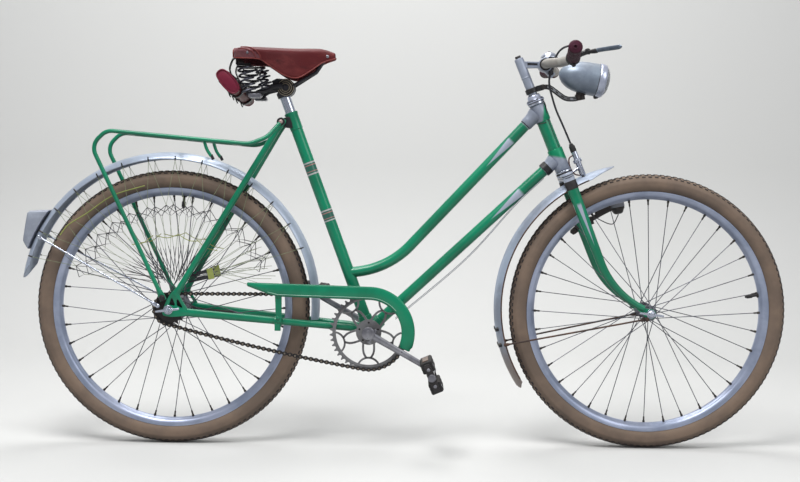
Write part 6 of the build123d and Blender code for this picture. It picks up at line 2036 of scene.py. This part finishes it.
camera_place, camera_turn = (0.3283, -2.5339, -0.3097), (-0.0148792, 0.0531454, -0.0083726)
photo_width, photo_height, film_width = 800, 482, 36.0
focal_pixels, optical_x, optical_y = 1063.5415, 399.587, 237.077
floor_fades = (2.7, 4.2)
wall_foot, wall_bend, wall_top = 1.3, 0.7, 4.0
sky_light, sky_seen = 0.38, 0.8
# Columns: place, what it points at, size, watts
soft_lights = [((-0.5, -1.2, 2.6), (0.2, 0.0, -0.4), 1.6, 112),
               ((2.4, -1.8, 1.2), (0.3, 0.0, -0.4), 1.6, 26),
               ((0.3, 1.0, 2.6), (0.2, 0.2, -0.6), 1.6, 52)]


def camera():
    """The photograph's own viewpoint, with its small turn, tilt and lean."""
    yaw, pitch, roll = camera_turn
    ahead = Vector((sin(yaw) * cos(pitch), cos(yaw) * cos(pitch), -sin(pitch)))
    level = Vector((cos(yaw), -sin(yaw), 0))
    down = ahead.cross(level)
    right = level * cos(roll) + down * sin(roll)
    under = down * cos(roll) - level * sin(roll)
    lens = bpy.data.cameras.new("camera")
    lens.sensor_width, lens.lens = film_width, focal_pixels / photo_width * film_width
    lens.shift_x = (photo_width / 2 - optical_x) / photo_width
    lens.shift_y = (optical_y - photo_height / 2) / photo_width
    lens.clip_start, lens.clip_end = 0.05, 40
    seat = bpy.data.objects.new("camera", lens)
    turned = Matrix((right, -under, -ahead)).transposed().to_4x4()
    seat.matrix_world = Matrix.Translation(Vector(camera_place)) @ turned
    bpy.context.scene.collection.objects.link(seat)
    bpy.context.scene.camera = seat


def plain(name, color):
    """A matt floor or wall, clear when seen from behind and fading out far from the object."""
    material = bpy.data.materials.new(name)
    material.use_nodes = True
    tree = material.node_tree
    shader = tree.nodes["Principled BSDF"]
    feed(tree, shader.inputs["Base Color"], linear(*color))
    feed(tree, shader.inputs["Roughness"], 0.9)
    place = put(tree, "ShaderNodeNewGeometry").outputs
    away = vectors(tree, "LENGTH", vectors(tree, "MULTIPLY", place["Position"], (1, 1, 0)))
    hidden = maths(tree, "MAXIMUM", spread(tree, away, *floor_fades), place["Backfacing"])
    clear = put(tree, "ShaderNodeBsdfTransparent").outputs[0]
    either = put(tree, "ShaderNodeMixShader", {0: hidden, 1: shader.outputs[0], 2: clear})
    feed(tree, tree.nodes["Material Output"].inputs["Surface"], either.outputs[0])
    return material


def studio():
    """A pale floor that runs up into a plain wall, and soft light from above and the front."""
    low = ground * MM
    bends = [a * pi / 16 for a in range(1, 9)]
    outline = [(-9.0, 0), (wall_foot, 0)]
    outline += [(wall_foot + wall_bend * sin(a), wall_bend - wall_bend * cos(a)) for a in bends]
    outline.append((wall_foot + wall_bend, wall_top))
    mesh = bpy.data.meshes.new("floor")
    points = [(x, y, low + z) for y, z in outline for x in (-6, 6)]
    faces = [(2 * i, 2 * i + 1, 2 * i + 3, 2 * i + 2) for i in range(len(outline) - 1)]
    # The floor goes on behind the wall, for the views from behind
    points += [(x, y, low) for y in (wall_foot, 9.0) for x in (-6, 6)]
    faces.append(tuple(len(points) + i for i in (-4, -3, -1, -2)))
    mesh.from_pydata(points, [], faces)
    mesh.shade_smooth()
    mesh.materials.append(plain("studio_floor", (208, 208, 206)))
    floor = bpy.data.objects.new("studio_floor", mesh)
    bpy.context.scene.collection.objects.link(floor)
    world = bpy.data.worlds.new("studio")
    world.use_nodes = True
    tree = world.node_tree
    background = tree.nodes["Background"].inputs
    seen = put(tree, "ShaderNodeLightPath").outputs["Is Camera Ray"]
    strength = put(tree, "ShaderNodeMapRange", {"Value": seen, "To Min": sky_light, "To Max": sky_seen})
    feed(tree, background["Color"], linear(228, 231, 237))
    feed(tree, background["Strength"], strength.outputs[0])
    bpy.context.scene.world = world
    for number, (place, aim, size, power) in enumerate(soft_lights):
        lamp = bpy.data.lights.new(f"soft_light_{number}", "AREA")
        lamp.size, lamp.energy = size, power
        light = bpy.data.objects.new(f"soft_light_{number}", lamp)
        light.location = place
        light.rotation_mode = "QUATERNION"
        light.rotation_quaternion = (Vector(aim) - Vector(place)).to_track_quat("-Z", "Y")
        bpy.context.scene.collection.objects.link(light)


camera()
studio()
bpy.context.scene.view_settings.view_transform = "Standard"
